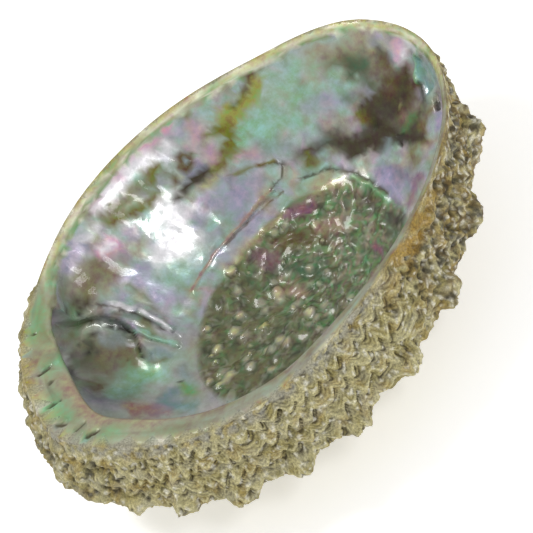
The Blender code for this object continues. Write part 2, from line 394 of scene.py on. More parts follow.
BOWL_MARKS: tuple[Mark, ...] = (
    # Broad tints of the far wall, from the spire to the front tip
    Mark(Paint.HAZE, ((-47.3, 32.7), (-38.6, 41.9)), 7.0, 0.7, 0.9),
    Mark(Paint.LEAF, ((-49.6, 28.6), (-44.1, 35.0)), 2.4, 0.6, 0.8),
    Mark(Paint.DRAB, ((-38.6, 36.9), (-32.1, 39.6)), 5.5, 0.8, 0.9),
    Mark(Paint.LILAC, ((-37.7, 43.8), (-31.5, 45.6)), 2.6, 0.7, 0.8),
    Mark(Paint.LILAC, ((-24.7, 36.3), (-22.9, 29.5)), 3.6, 0.75, 0.8),
    Mark(Paint.AQUA, ((-18.3, 32.8), (-9.9, 33.1)), 4.0, 0.6, 0.9),
    Mark(Paint.STEEL, ((-3.2, 35.1), (6.1, 36.8)), 5.0, 0.45, 0.9),
    Mark(Paint.LILAC, ((9.8, 37.7), (18.4, 38.1)), 4.0, 0.6, 0.9),
    Mark(Paint.GREEN, ((21.3, 45.8), (27.9, 44.1)), 3.0, 0.75, 0.8),
    Mark(Paint.AQUA, ((33.3, 46.5), (43.4, 43.7)), 5.0, 0.55, 0.9),
    Mark(Paint.GREEN, ((33.3, 41.2), (37.1, 39.1)), 3.2, 0.5, 0.9),
    Mark(Paint.PINK, ((18.3, 43.3), (21.6, 42.4)), 2.4, 0.55, 0.8),
    Mark(Paint.STEEL, ((25.4, 40.5), (28.7, 36.7)), 3.2, 0.5, 0.9),
    Mark(Paint.GREEN, ((41.2, 40.7), (46.2, 38.0)), 2.4, 0.6, 0.8),
    Mark(Paint.LILAC, ((44.9, 36.7), (46.7, 33.8)), 3.0, 0.65, 0.9),
    Mark(Paint.ROSE, ((43.6, 31.7), (45.6, 28.2)), 3.0, 0.5, 0.9),
    Mark(Paint.SAND, ((52.5, 42.1), (65.1, 32.8)), 4.0, 0.5, 0.9),
    Mark(Paint.AQUA, ((50.8, 37.3), (52.6, 34.5)), 2.8, 0.5, 0.9),
    Mark(Paint.VIOLET, ((45.0, 11.2), (48.2, 2.8)), 3.2, 0.75, 0.8),
    Mark(Paint.LILAC, ((43.8, 9.6), (44.6, 1.0)), 2.2, 0.8, 0.8),
    Mark(Paint.DRAB, ((53.9, 3.2), (58.5, 3.7)), 3.4, 0.8, 0.8),
    Mark(Paint.MAGENTA, ((44.1, -3.8), (51.4, -1.8)), 1.4, 0.65, 0.8),
    # Pink band under the rim, then painted highlights, some edged with pink, and small pink and violet
    # tints
    Mark(Paint.PINK, ((-22.0, 54.3), (-12.6, 55.7), (-3.4, 56.9), (6.2, 56.7)), 1.7, 0.8, 0.8),
    # painted highlight along the inside of the rim
    Mark(Paint.PEARL, ((-15.4, 53.5), (-6.0, 54.4), (4.8, 54.2)), 2.0, 0.85, 0.8),
    Mark(Paint.PEARL, ((-31.3, 46.4), (-25.3, 48.6)), 1.3, 0.8, 0.8),
    # painted highlight with a pink halo round it
    Mark(Paint.PINK, ((-26.8, 43.5),), 3.4, 0.8, 0.5),
    Mark(Paint.PEARL, ((-26.3, 43.4),), 2.0, 1.0, 0.5),
    # the broad painted highlight of the far wall
    Mark(Paint.PEARL, ((-17.4, 37.2), (-8.9, 39.9), (-3.0, 44.2)), 3.6, 0.8, 0.8),
    Mark(Paint.PEARL, ((-11.7, 43.6), (-7.2, 45.6)), 2.2, 0.6, 0.8),
    # painted highlight at the front tip, edged with pink
    Mark(Paint.PEARL, ((69.8, 20.6), (72.5, 20.8), (74.9, 16.6)), 2.2, 0.9, 0.7),
    Mark(Paint.PINK, ((69.0, 21.6), (71.6, 22.7)), 1.6, 0.6, 0.8),
    Mark(Paint.PINK, ((10.8, 52.9), (16.7, 52.0)), 2.2, 0.4, 0.8),
    Mark(Paint.PINK, ((11.3, 48.0), (14.1, 48.5)), 2.6, 0.5, 0.8),
    Mark(Paint.VIOLET, ((4.6, 47.9), (7.8, 47.1)), 1.5, 0.8, 0.6),
    # Olive stains of the far wall
    Mark(Paint.OLIVE, ((-27.7, 53.0), (-22.5, 54.6)), 1.3, 0.6, 0.8),
    Mark(Paint.OLIVE, ((-22.9, 48.3), (-16.4, 50.4), (-10.0, 52.2)), 2.2, 0.7, 0.8),
    Mark(Paint.OLIVE, ((-19.9, 47.5), (-12.7, 47.9), (-6.3, 47.3)), 1.6, 0.9, 0.6),
    Mark(Paint.MOSS, ((-7.2, 51.5), (-0.9, 50.6)), 3.0, 0.65, 0.8),
    Mark(Paint.OLIVE, ((-2.8, 52.3),), 2.5, 0.9, 0.5),
    Mark(Paint.AQUA, ((-1.9, 51.7),), 0.9, 0.6, 0.6),
    Mark(Paint.BROWN, ((6.0, 49.7),), 2.4, 0.9, 0.6),
    Mark(Paint.STEEL, ((6.0, 49.7),), 0.9, 0.9, 0.5, 0.35),
    Mark(Paint.BROWN, ((0.8, 48.2),), 1.6, 0.8, 0.6),
    Mark(Paint.UMBER, ((-2.3, 46.5), (1.9, 46.4), (6.5, 46.0), (9.9, 45.7)), 0.95, 0.95, 0.5),
    Mark(Paint.OLIVE, ((12.4, 45.6), (17.8, 45.4)), 1.9, 0.9, 0.45),
    Mark(Paint.SAND, ((5.2, 44.4), (9.1, 43.5)), 1.8, 0.8, 0.6),
    Mark(Paint.LIME, ((19.6, 48.8), (25.4, 49.4), (31.5, 48.1), (36.5, 48.7)), 2.2, 0.95, 0.4),
    Mark(Paint.OLIVE, ((18.5, 50.0), (19.9, 48.1), (18.8, 45.9)), 0.9, 0.85, 0.5),
    Mark(Paint.BROWN, ((26.0, 50.6), (31.9, 49.3), (35.7, 50.4)), 0.7, 0.8, 0.5),
    Mark(Paint.UMBER, ((36.1, 50.3),), 1.1, 0.8, 0.6),
    Mark(Paint.OLIVE, ((14.3, 55.6),), 1.3, 0.75, 0.7),
    Mark(Paint.BROWN, ((36.4, 53.7), (40.3, 51.4)), 0.9, 0.8, 0.7),
    Mark(Paint.ROSE, ((2.5, 41.2),), 1.4, 0.6, 0.7),
    Mark(Paint.AQUA, ((-0.6, 37.8),), 1.9, 0.6, 0.5, 0.15),
    Mark(Paint.MOSS, ((-28.6, 34.7), (-27.7, 26.7)), 1.2, 0.6, 0.8),
    # Dark stain inside the front tip
    Mark(Paint.DRAB, ((56.1, 37.0), (63.0, 31.5)), 4.0, 0.6, 0.9),
    Mark(Paint.PINE, ((57.5, 34.1), (60.6, 30.8)), 3.0, 0.9, 0.8),
    Mark(Paint.CHARCOAL, ((64.7, 28.0), (66.2, 24.1)), 1.9, 0.8, 0.8),
    Mark(Paint.BROWN, ((58.5, 29.4), (64.4, 23.9)), 2.8, 0.85, 0.8),
    Mark(Paint.CHARCOAL, ((51.0, 31.6), (54.3, 28.2)), 2.4, 0.6, 0.8),
    Mark(Paint.UMBER, ((54.1, 23.6), (59.3, 21.9), (65.4, 17.6), (67.0, 13.0)), 3.6, 0.95, 0.7),
    Mark(Paint.BROWN, ((60.8, 16.3),), 8.0, 0.92, 0.6),
    Mark(Paint.UMBER, ((52.4, 23.0), (50.3, 19.1), (53.9, 12.1), (57.6, 7.9)), 4.0, 0.97, 0.6),
    Mark(Paint.UMBER, ((60.4, 6.7), (64.9, 6.9)), 1.8, 0.8, 0.7),
    Mark(Paint.UMBER, ((33.2, 32.4), (38.8, 30.3), (43.4, 24.9)), 3.3, 0.9, 0.7),
    Mark(Paint.UMBER, ((44.9, 22.7), (50.1, 17.3)), 3.2, 0.95, 0.6),
    Mark(Paint.OLIVE, ((50.6, 25.2), (53.2, 21.3)), 2.0, 0.85, 0.6),
    Mark(Paint.OLIVE, ((33.2, 32.8), (31.5, 31.2), (34.2, 29.0)), 1.0, 0.7, 0.7),
    Mark(Paint.CHARCOAL, ((56.1, 17.9), (58.7, 17.2)), 2.4, 0.9, 0.7),
    Mark(Paint.CHARCOAL, ((62.4, 15.5),), 1.5, 0.8, 0.7),
    # painted highlight: a small bright glint in the dark stain
    Mark(Paint.STRAW, ((60.3, 14.8),), 0.9, 0.9, 0.6, 0.3),
    Mark(Paint.ROSE, ((59.4, 12.3),), 1.6, 0.7, 0.7),
    Mark(Paint.LEAF, ((56.9, 11.0), (60.7, 9.7)), 1.2, 0.5, 0.8),
    Mark(Paint.STEEL, ((50.4, 13.3),), 2.0, 0.75, 0.6),
    # sunken pits painted black: painted shade in the pits
    Mark(Paint.SOOT, ((51.2, 20.3),), 0.9, 0.95, 0.5, -0.3),
    Mark(Paint.SOOT, ((54.9, 11.9), (56.0, 10.6)), 0.9, 0.95, 0.5, -0.3),
    Mark(Paint.SOOT, ((53.4, 9.4),), 0.8, 0.95, 0.5, -0.3),
    Mark(Paint.DRAB, ((61.8, 5.4), (64.8, 3.3)), 1.6, 0.8, 0.7),
    Mark(Paint.LILAC, ((63.0, -1.6), (64.9, -0.7)), 1.1, 0.9, 0.6),
    # Fold at the front tip, where the inner lip starts
    Mark(Paint.GREEN, ((74.2, 13.1), (71.3, 14.8), (68.4, 12.4)), 1.3, 0.6, 0.5, 0.5),
    Mark(Paint.TEAL, ((71.1, 13.5), (69.4, 11.3), (68.4, 7.4)), 1.4, 0.6, 0.5, -0.6),
    # painted shade in the crease and in the hole beside the fold
    Mark(Paint.CHARCOAL, ((67.7, 11.5), (66.2, 8.4)), 0.6, 0.9, 0.5, -0.4),
    Mark(Paint.SOOT, ((67.9, 3.2), (66.4, 1.4)), 0.9, 0.95, 0.5, -1.0),
    # Hooked line over the scar
    Mark(Paint.ROSE, ((-16.5, 27.4), (-10.8, 30.5), (-4.9, 32.3), (1.9, 33.4), (7.6, 33.9),
                      (13.4, 34.2), (18.9, 33.7)), 0.55, 0.85, 0.5, 0.3),
    Mark(Paint.BROWN, ((-0.5, 32.5), (7.7, 33.1), (14.5, 33.2), (21.3, 31.7)), 0.40, 0.8, 0.5, -0.2),
    Mark(Paint.UMBER, ((18.9, 33.7), (23.9, 33.7), (25.8, 34.9), (24.6, 37.1), (21.3, 39.0)),
         0.40, 0.8, 0.5, 0.2),
    Mark(Paint.OLIVE, ((24.5, 36.8), (21.3, 39.0), (17.4, 40.9), (11.8, 42.1)), 0.7, 0.75, 0.6, 0.15),
    # Floor between the spire pocket and the scar
    Mark(Paint.DRAB, ((-49.7, 27.1), (-43.3, 24.7)), 6.0, 0.65, 0.9),
    Mark(Paint.PINE, ((-53.6, 26.1), (-50.1, 27.7)), 2.4, 0.7, 0.8),
    Mark(Paint.CHARCOAL, ((-48.0, 27.9),), 1.3, 0.7, 0.7),
    Mark(Paint.BROWN, ((-55.6, 19.7), (-53.1, 19.8)), 1.5, 0.8, 0.7),
    Mark(Paint.STEEL, ((-43.4, 30.2), (-40.1, 28.3)), 2.2, 0.7, 0.8),
    # a small painted highlight
    Mark(Paint.PEARL, ((-38.9, 26.1),), 0.9, 0.9, 0.6),
    Mark(Paint.OLIVE, ((-43.2, 21.8), (-38.6, 22.4)), 1.8, 0.6, 0.8),
    Mark(Paint.VIOLET, ((-57.1, 15.0), (-53.7, 12.0)), 3.8, 0.65, 0.9),
    Mark(Paint.AQUA, ((-48.2, 15.0), (-38.5, 15.5)), 5.0, 0.7, 0.8),
    Mark(Paint.GREEN, ((-42.9, 17.6), (-40.3, 15.7)), 2.6, 0.6, 0.8),
    Mark(Paint.MOSS, ((-37.7, 18.2), (-36.8, 16.1), (-33.7, 15.6)), 0.8, 0.8, 0.6),
    Mark(Paint.STEEL, ((-36.1, 18.6), (-34.4, 17.5)), 1.8, 0.8, 0.5, 0.2),
    Mark(Paint.CORAL, ((-48.7, 4.1), (-45.3, 1.8)), 3.2, 0.85, 0.8),
    Mark(Paint.VIOLET, ((-43.9, 3.0), (-39.0, 2.4)), 3.2, 0.7, 0.9),
    Mark(Paint.TEAL, ((-39.6, 2.4), (-37.7, -1.9)), 2.6, 0.65, 0.9),
    Mark(Paint.LEAF, ((-34.1, 5.2), (-33.2, 0.8)), 1.5, 0.85, 0.7),
    Mark(Paint.SOOT, ((-35.0, 6.8),), 0.6, 0.8, 0.6),
    Mark(Paint.MAGENTA, ((-36.0, -35.2), (-31.6, -38.0)), 2.2, 0.75, 0.8),
    Mark(Paint.STEEL, ((-32.2, 11.4), (-28.2, -39.8)), 1.4, 0.75, 0.8),
    # Painted highlights on the beads of the suture ridge, with its tints and a dark blot
    Mark(Paint.UMBER, ((-39.3, 35.1), (-43.0, 34.7)), 1.3, 0.9, 0.7),
    Mark(Paint.PEARL, ((-34.9, 31.3), (-31.8, 29.8)), 1.3, 0.95, 0.5, 0.4),
    Mark(Paint.PEARL, ((-30.7, 28.0), (-28.9, 24.3), (-28.1, 21.4)), 0.7, 0.85, 0.5, 0.5),
    Mark(Paint.AQUA, ((-36.0, 25.7), (-33.2, 22.9), (-30.8, 19.9), (-29.0, 17.5)), 0.8, 0.9, 0.5, 0.7),
    Mark(Paint.MOSS, ((-33.4, 26.9), (-31.3, 23.2)), 1.2, 0.7, 0.7),
    # Muscle scar
    Mark(Paint.LILAC, ((-3.3, 30.7), (13.7, 31.5)), 1.8, 0.55, 0.8),
    Mark(Paint.SAND, ((-1.4, 29.0), (15.5, 28.6)), 1.6, 0.6, 0.8),
    Mark(Paint.MAGENTA, ((18.3, 27.5), (25.3, 25.0)), 1.8, 0.7, 0.7),
    Mark(Paint.MAGENTA, ((4.7, 24.8), (7.2, 19.7)), 2.4, 0.55, 0.8),
    Mark(Paint.BROWN, ((12.0, 23.8), (15.5, 21.5), (20.9, 17.1)), 2.2, 0.65, 0.7),
    Mark(Paint.PINE, ((9.4, 16.2), (14.1, 8.7)), 3.0, 0.85, 0.8),
    Mark(Paint.ROSE, ((22.7, 18.2), (26.9, 14.9)), 1.8, 0.6, 0.7),
    Mark(Paint.ROSE, ((2.8, 13.4), (7.0, 8.4)), 2.0, 0.6, 0.6),
    Mark(Paint.MAGENTA, ((22.5, -41.3), (30.0, -1.2)), 1.0, 0.8, 0.6),
    Mark(Paint.PINE, ((24.7, -42.0), (36.5, -4.6)), 1.4, 0.85, 0.7),
    Mark(Paint.UMBER, ((38.1, 12.2), (36.7, 8.9)), 1.2, 0.8, 0.7),
    Mark(Paint.SOOT, ((38.1, 1.9), (40.0, -3.7)), 1.3, 0.85, 0.7),
    Mark(Paint.GREEN, ((38.6, 19.7), (40.8, 13.8), (41.3, 2.8)), 0.9, 0.5, 0.5, 0.2),
    Mark(Paint.UMBER, ((28.7, 30.0), (34.1, 26.6), (38.9, 21.1), (41.0, 14.7), (42.0, 6.4)),
         0.5, 0.85, 0.5, -0.15),
    Mark(Paint.SAND, ((28.6, 27.0), (35.2, 22.1)), 2.4, 0.6, 0.8),
    Mark(Paint.SAND, ((-7.7, 6.8),), 1.5, 0.9, 0.4, 0.7),
    # Painted shadow under the spire pocket's hooked edge, deeper stains and lines, and the brightest
    # painted highlights
    # painted shadow in the dark gap under the hooked edge
    Mark(Paint.SOOT, ((-49.6, 28.2), (-44.3, 32.8), (-40.4, 31.9), (-37.6, 29.5), (-36.3, 26.8),
                      (-37.4, 23.8), (-39.7, 21.4)), 0.5, 0.95, 0.5),
    Mark(Paint.UMBER, ((-48.4, 29.5), (-43.3, 34.5), (-38.3, 33.0), (-34.4, 30.0), (-31.5, 26.3),
                       (-29.2, 22.7)), 0.45, 0.8, 0.6),
    Mark(Paint.SOOT, ((52.0, 20.9), (56.3, 21.0)), 1.9, 0.85, 0.8),
    Mark(Paint.UMBER, ((43.0, 26.8), (48.3, 20.2)), 2.2, 0.85, 0.8),
    Mark(Paint.SOOT, ((54.3, 9.7),), 2.0, 0.85, 0.8),
    Mark(Paint.UMBER, ((61.7, 16.5), (66.3, 16.3)), 2.2, 0.85, 0.8),
    Mark(Paint.PINE, ((56.3, 34.7), (58.5, 29.4)), 2.8, 0.7, 0.9),
    Mark(Paint.UMBER, ((-3.4, 46.7), (1.4, 46.1), (7.0, 45.6)), 1.2, 0.9, 0.6),
    Mark(Paint.OLIVE, ((15.9, 50.0), (20.7, 48.6), (18.4, 45.6)), 1.5, 0.85, 0.6),
    Mark(Paint.BROWN, ((3.9, 49.8), (6.4, 51.2), (8.9, 49.8), (6.4, 48.5), (3.9, 49.8)), 0.7, 0.8, 0.8),
    Mark(Paint.OLIVE, ((-4.1, 51.9), (-1.4, 52.4)), 1.6, 0.8, 0.7),
    Mark(Paint.UMBER, ((-46.6, 32.3), (-40.5, 36.0)), 1.0, 0.8, 0.8),
    # the brightest painted highlights
    Mark(Paint.PEARL, ((-5.6, 43.2), (-15.2, 37.8), (-9.2, 37.0)), 4.0, 0.8, 0.9),
    Mark(Paint.PEARL, ((-22.0, 52.2), (-12.7, 54.9), (-0.5, 55.4)), 1.7, 0.8, 0.9),
    Mark(Paint.AQUA, ((25.4, 44.6), (33.7, 41.7)), 3.2, 0.75, 0.9),
    Mark(Paint.LILAC, ((4.2, 41.9), (9.8, 39.1)), 3.0, 0.6, 0.9),
    Mark(Paint.UMBER, ((54.5, 19.0), (60.8, 16.3)), 4.5, 0.75, 0.9),
)

LEDGE_MARKS: tuple[Mark, ...] = (
    # Tints of the shelf, then the short dark nicks across it
    Mark(Paint.AQUA, ((-60.8, 10.7), (-58.8, 10.5)), 1.2, 0.7, 0.6),
    Mark(Paint.GREEN, ((-65.0, 3.2), (-62.6, -1.4)), 3.0, 0.6, 0.8),
    Mark(Paint.LEAF, ((-55.9, 26.6), (-53.5, 30.8)), 3.0, 0.5, 0.8),
    Mark(Paint.CORAL, ((-61.7, 18.1), (-58.9, 16.4)), 1.6, 0.5, 0.8),
    Mark(Paint.UMBER, ((-61.7, 13.1), (-58.3, 13.4)), 0.7, 0.9, 0.5, -0.7),
    Mark(Paint.UMBER, ((-61.2, 7.7), (-59.8, 8.4)), 0.6, 0.85, 0.5, -0.5),
    Mark(Paint.UMBER, ((-63.9, 0.5), (-61.9, 0.6)), 0.6, 0.85, 0.5, -0.5),
    Mark(Paint.UMBER, ((-60.6, 0.7),), 0.6, 0.85, 0.5, -0.5),
    Mark(Paint.UMBER, ((-65.0, -7.2), (-62.8, -8.1)), 0.7, 0.85, 0.5, -0.5),
    Mark(Paint.UMBER, ((-61.6, -12.6), (-59.0, -11.9)), 0.6, 0.85, 0.5, -0.5),
    Mark(Paint.UMBER, ((-59.6, -17.6), (-57.0, -17.9)), 0.7, 0.9, 0.5, -0.7),
    Mark(Paint.UMBER, ((-56.6, 26.5), (-55.9, 26.6)), 0.6, 0.85, 0.5, -0.5),
)


@dataclass
class ShellForm:
    """The shell's plain shape: sections round the mouth, and the growth spiral about the apex."""

    meridians: int = 1080
    rings_inside: int = 150
    rings_outside: int = 210
    ring_crowding: float = 1.35
    fineness: float = 0.25
    outside_smoothing: int = 60
    inside_smoothing: int = 14
    slope_smoothing: int = 90

    rim_radius: Stations = ((8, 73.2), (26, 72.3), (55, 60.2), (87, 56.6), (121, 59.2), (148, 63.5),
                            (162, 67.8), (178, 69.8), (194, 71.0), (208, 67.0), (231, 62.8), (252, 58.5),
                            (278, 53.0), (306, 54.0), (327, 59.2), (348, 67.4))
    rim_height: Stations = ((0, 42.0), (90, 43.0), (180, 41.0), (270, 41.5))
    ledge_width: Stations = ((5, 2.0), (60, 1.3), (110, 1.4), (135, 2.4), (153, 7.5), (168, 11.0),
                             (185, 12.0), (205, 10.5), (235, 8.5), (262, 6.0), (285, 4.2), (320, 3.0),
                             (345, 2.8))
    ledge_dip: float = 0.20
    ledge_edge: float = 1.8
    ledge_reach: float = 7.0
    bowl_start: float = 2.2
    undercut: Stations = ((10, 0.0), (90, 0.0), (150, 0.0), (156, 0.1), (163, 1.0), (250, 1.0), (320, 0.7),
                          (345, 0.3))
    keel_out: Stations = ((5, -0.8), (35, 0.0), (90, 0.0), (138, 0.5), (160, 4.5), (178, 7.5), (196, 7.5),
                          (215, 6.5), (235, 5.5), (270, 6.0), (300, 4.6), (325, 2.2), (345, 0.0))
    keel_drop: Stations = ((0, 10.0), (20, 4.0), (45, 1.0), (90, 0.0), (135, 1.0), (158, 9.0), (180, 16.0),
                           (210, 19.5), (270, 21.0), (305, 20.0), (330, 17.5), (348, 14.5))
    dome_power: float = 2.25
    dome_lift: float = -0.9
    lip_thickness: float = 1.3
    wall_thickness: float = 4.8
    thickening_length: float = 30.0

    apex: tuple[float, float] = (-47.0, 20.0)
    widening: float = 0.43
    keel_size: float = 4.975
    lip_reach: Stations = ((-20, 124.6), (5, 112.0), (20, 85.0), (37, 61.0), (63, 34.0), (105, 21.0))

    def relaxed(self, path: np.ndarray, rounds: int) -> np.ndarray:
        """Space a path finely and evenly, and round its corners.

        Args:
            path: the path's points.
            rounds: how many times it is smoothed.

        Returns:
            The smoothed path with its two ends kept.
        """
        count = int(run_along(path)[-1] / self.fineness) + 2
        path = sampled(path, np.linspace(0.0, 1.0, count))
        for _ in range(rounds):
            path[1:-1] += 0.25 * (path[:-2] + path[2:] - 2.0 * path[1:-1])
        return path

    def outside_section(self, angle: float) -> np.ndarray:
        """Draw the outside at one angle.

        Args:
            angle: the angle in radians.

        Returns:
            Radius and height from the rim's outer edge to the middle of the underside.
        """
        rim = around(self.rim_radius, angle)
        height = around(self.rim_height, angle)
        out = around(self.keel_out, angle)
        drop = max(around(self.keel_drop, angle), 0.0)
        down = np.linspace(0.0, 1.0, 40)
        wall = np.column_stack((rim + out * np.sin(0.5 * np.pi * down), height - drop * down))
        inward = np.linspace(1.0, 0.0, 120)[1:]
        keel_height = height - drop - self.dome_lift
        dome_height = self.dome_lift + keel_height * inward ** self.dome_power
        dome = np.column_stack(((rim + out) * inward, dome_height))
        return self.relaxed(np.vstack((wall, dome)), self.outside_smoothing)

    def inside_section(self, angle: float, outside: np.ndarray) -> np.ndarray:
        """Draw the inside at one angle, one wall's thickness within the outside.

        Args:
            angle: the angle in radians.
            outside: the outside's section at that angle.

        Returns:
            Radius and height from the rim's outer edge over the ledge to the middle of the bowl.
        """
        rim = around(self.rim_radius, angle)
        height = around(self.rim_height, angle)
        width = around(self.ledge_width, angle)
        under = float(np.clip(around(self.undercut, angle), 0.0, 1.0))
        edge = height - self.ledge_dip * width
        ledge = np.array([
            (rim, height),
            (rim - 0.45 * width, height - 0.35 * self.ledge_dip * width),
            (rim - width + 0.3, edge),
            (rim - width, edge - 0.2 - 0.5 * self.ledge_edge * under),
            (rim - width + 0.6 * under, edge - 0.3 - self.ledge_edge * under),
        ])
        along = np.gradient(outside, axis=0)
        along /= np.linalg.norm(along, axis=1)[:, None]
        depth = np.clip(run_along(outside) / self.thickening_length, 0.0, 1.0)
        thickness = self.lip_thickness + (self.wall_thickness - self.lip_thickness) * np.sqrt(depth)
        hollow = outside + thickness[:, None] * np.column_stack((along[:, 1], -along[:, 0]))
        low_enough = hollow[:, 1] < edge - 0.8 - (self.ledge_edge + 0.8) * under
        hollow = hollow[low_enough & (hollow[:, 0] > 0.5)]
        reach = rim - width + self.ledge_reach * under - 0.5 * (1.0 - under)
        hollow[:, 0] = np.minimum(hollow[:, 0], reach)
        middle = np.array([(0.0, hollow[-1, 1])])
        rounds = int(self.inside_smoothing + self.slope_smoothing * (1.0 - under))
        return self.relaxed(np.vstack((ledge, hollow, middle)), rounds)

    def bare_grid(self) -> np.ndarray:
        """Draw the whole shell without its relief.

        Returns:
            Points in rings, from the middle of the bowl over the rim to the middle of the underside.
        """
        grid = np.empty((self.rings_inside + self.rings_outside + 1, self.meridians, 3))
        inner_shares = np.linspace(0.0, 1.0, self.rings_inside + 1)
        outer_shares = np.linspace(0.0, 1.0, self.rings_outside + 1)[1:] ** self.ring_crowding
        for index in range(self.meridians):
            angle = math.tau * index / self.meridians
            outside = self.outside_section(angle)
            inside = sampled(self.inside_section(angle, outside), inner_shares)[::-1]
            section = np.vstack((inside, sampled(outside, outer_shares)))
            grid[:, index, 0] = section[:, 0] * math.cos(angle)
            grid[:, index, 1] = section[:, 0] * math.sin(angle)
            grid[:, index, 2] = section[:, 1]
        return grid

    @staticmethod
    def grid_normals(grid: np.ndarray) -> np.ndarray:
        """Find which way the surface faces.

        Args:
            grid: points in rings.

        Returns:
            The outward direction at each point.
        """
        down = np.gradient(grid, axis=0)
        turn = np.roll(grid, -1, axis=1) - np.roll(grid, 1, axis=1)
        normal = np.cross(turn, down)
        length = np.linalg.norm(normal, axis=2, keepdims=True)
        normal = -normal / np.maximum(length, 1e-9)
        normal[0] = (0.0, 0.0, 1.0)
        normal[-1] = (0.0, 0.0, -1.0)
        return normal

    def about_apex(self, points: np.ndarray) -> tuple[np.ndarray, np.ndarray]:
        """Distance of points from the apex, and their angle in radians about it."""
        offset = points[:, :2] - np.array(self.apex)
        return np.linalg.norm(offset, axis=1), np.arctan2(offset[:, 1], offset[:, 0])

    def growth(self, points: np.ndarray) -> tuple[np.ndarray, np.ndarray, np.ndarray, np.ndarray]:
        """Place points in the growth spiral.

        Args:
            points: places in millimetres.

        Returns:
            Distance from the apex, size, and degrees along and across growth.
        """
        away, turn = self.about_apex(points)
        reach = np.maximum(away, 0.3)
        size = np.log(reach) - self.widening * turn
        whorl = np.floor((self.keel_size - size) / (self.widening * math.tau))
        size = size + whorl * self.widening * math.tau
        lip = np.radians([station[0] for station in self.lip_reach])
        lip_size = np.log([station[1] for station in self.lip_reach]) - self.widening * lip
        across = np.interp(size, lip_size[::-1], lip[::-1])
        along = turn - whorl * math.tau - across
        return reach, size, np.degrees(along), np.degrees(across)


@dataclass
class Tubercles:
    """The knobs along the keel, one for each growth step, the newest still open as pores."""

    start: float = 346.5
    step: float = 24.6
    shrink: float = 0.93
    count: int = 12
    shown: int = 7
    shell_behind_lip: float = 0.93
    height: float = 4.6
    width: float = 5.0
    wear: float = 0.65
    ring_spacing: float = 1.5
    ring_height: float = 0.16
    pores: int = 3
    pore_radius: float = 2.2
    pore_slant: float = 32.0
    pore_length: float = 26.0
    pore_inset: float = 1.0
    pore_lift: float = 0.5
    sleeve_cuts: int = 6

    def steps(self, form: ShellForm) -> np.ndarray:
        """Count growth steps back from the newest tubercle along the keel.

        Args:
            form: the shell's shape.

        Returns:
            The count at each meridian.
        """
        angle = math.tau * np.arange(form.meridians) / form.meridians
        radius = around(form.rim_radius, angle) + around(form.keel_out, angle)
        behind = np.mod(math.radians(self.start) - angle, math.tau)
        ahead_of_newest = behind > math.tau * self.shell_behind_lip
        behind = np.where(ahead_of_newest, behind - math.tau, behind)
        order = np.argsort(behind)
        keel = np.column_stack((radius * np.cos(angle), radius * np.sin(angle)))[order]
        run = run_along(keel)
        run -= np.interp(0.0, behind[order], run)
        left = np.clip(1.0 - run * (1.0 - self.shrink) / self.step, 0.02, None)
        steps = np.empty(form.meridians)
        steps[order] = np.log(left) / math.log(self.shrink)
        return steps

    def relief(self, steps: np.ndarray, past_keel: np.ndarray, points: np.ndarray) -> np.ndarray:
        """Height of the knobs.

        Args:
            steps: growth steps back from the newest knob.
            past_keel: distance down the section from the keel.
            points: places in millimetres.

        Returns:
            The height at each place.
        """
        nearest = np.clip(np.round(steps), 0, self.count)
        size = self.shrink ** nearest
        sideways = (steps - nearest) * self.step * size + 0.6 * rumple(points, 5.0, 21)
        downwards = past_keel + 0.6 * rumple(points, 5.0, 22)
        spread = np.hypot(sideways, 0.85 * downwards) / (self.width * size)
        worn = 1.0 - self.wear * ease((nearest - self.shown) / 2.0)
        rings = self.ring_height * np.sin(math.tau * spread * self.width / self.ring_spacing)
        rings *= ease((1.5 - spread) / 0.5)
        return worn * (self.height * size ** 0.8 * bell(spread ** 1.5) + rings)

    def bore(self, form: ShellForm, turn: float) -> tuple[np.ndarray, np.ndarray]:
        """Place the bore of the pore at one angle, slanting down and out through the wall.

        Args:
            form: the shell's shape.
            turn: the angle in radians.

        Returns:
            The bore's middle in millimetres, and its direction.
        """
        radius = float(around(form.rim_radius, turn) + around(form.keel_out, turn)) - self.pore_inset
        height = float(around(form.rim_height, turn) - around(form.keel_drop, turn)) + self.pore_lift
        slant = math.radians(self.pore_slant)
        middle = np.array((radius * math.cos(turn), radius * math.sin(turn), height)) - GROWTH_MIDDLE
        across = math.cos(slant)
        return middle, np.array((across * math.cos(turn), across * math.sin(turn), -math.sin(slant)))

    def open_pores(self, shell: bpy.types.Object, form: ShellForm) -> None:
        """Open the newest knobs: a round hole in each skin of the wall, with a sleeve between the two.

        Args:
            shell: the shell's object.
            form: the shell's shape.
        """
        steps = self.steps(form)
        mesh = shell.data
        for pore in range(self.pores):
            turn = math.tau * int(np.argmin(np.abs(steps - pore))) / form.meridians
            middle, axis = self.bore(form, turn)
            radius = self.pore_radius * self.shrink ** pore * MM

            offset = corners_of(mesh) - middle * MM
            along = offset @ axis
            away = np.linalg.norm(offset - along[:, None] * axis, axis=1)
            bored = (away < radius) & (np.abs(along) < 0.5 * self.pore_length * MM)

            bpy.ops.object.mode_set(mode="EDIT")
            bpy.ops.mesh.select_mode(type="VERT")
            bpy.ops.mesh.select_all(action="DESELECT")
            bpy.ops.object.mode_set(mode="OBJECT")
            mesh.vertices.foreach_set("select", bored)
            bpy.ops.object.mode_set(mode="EDIT")
            bpy.ops.mesh.delete(type="VERT")
            bpy.ops.mesh.select_non_manifold()
            bpy.ops.object.mode_set(mode="OBJECT")
            for vert in mesh.vertices:
                if vert.select:
                    offset = np.array(vert.co) - middle * MM
                    level = float(offset @ axis)
                    outward = offset - level * axis
                    outward *= radius / max(float(np.linalg.norm(outward)), 1e-9)
                    vert.co = middle * MM + level * axis + outward
            bpy.ops.object.mode_set(mode="EDIT")
            bpy.ops.mesh.bridge_edge_loops(number_cuts=self.sleeve_cuts)
            bpy.ops.object.mode_set(mode="OBJECT")


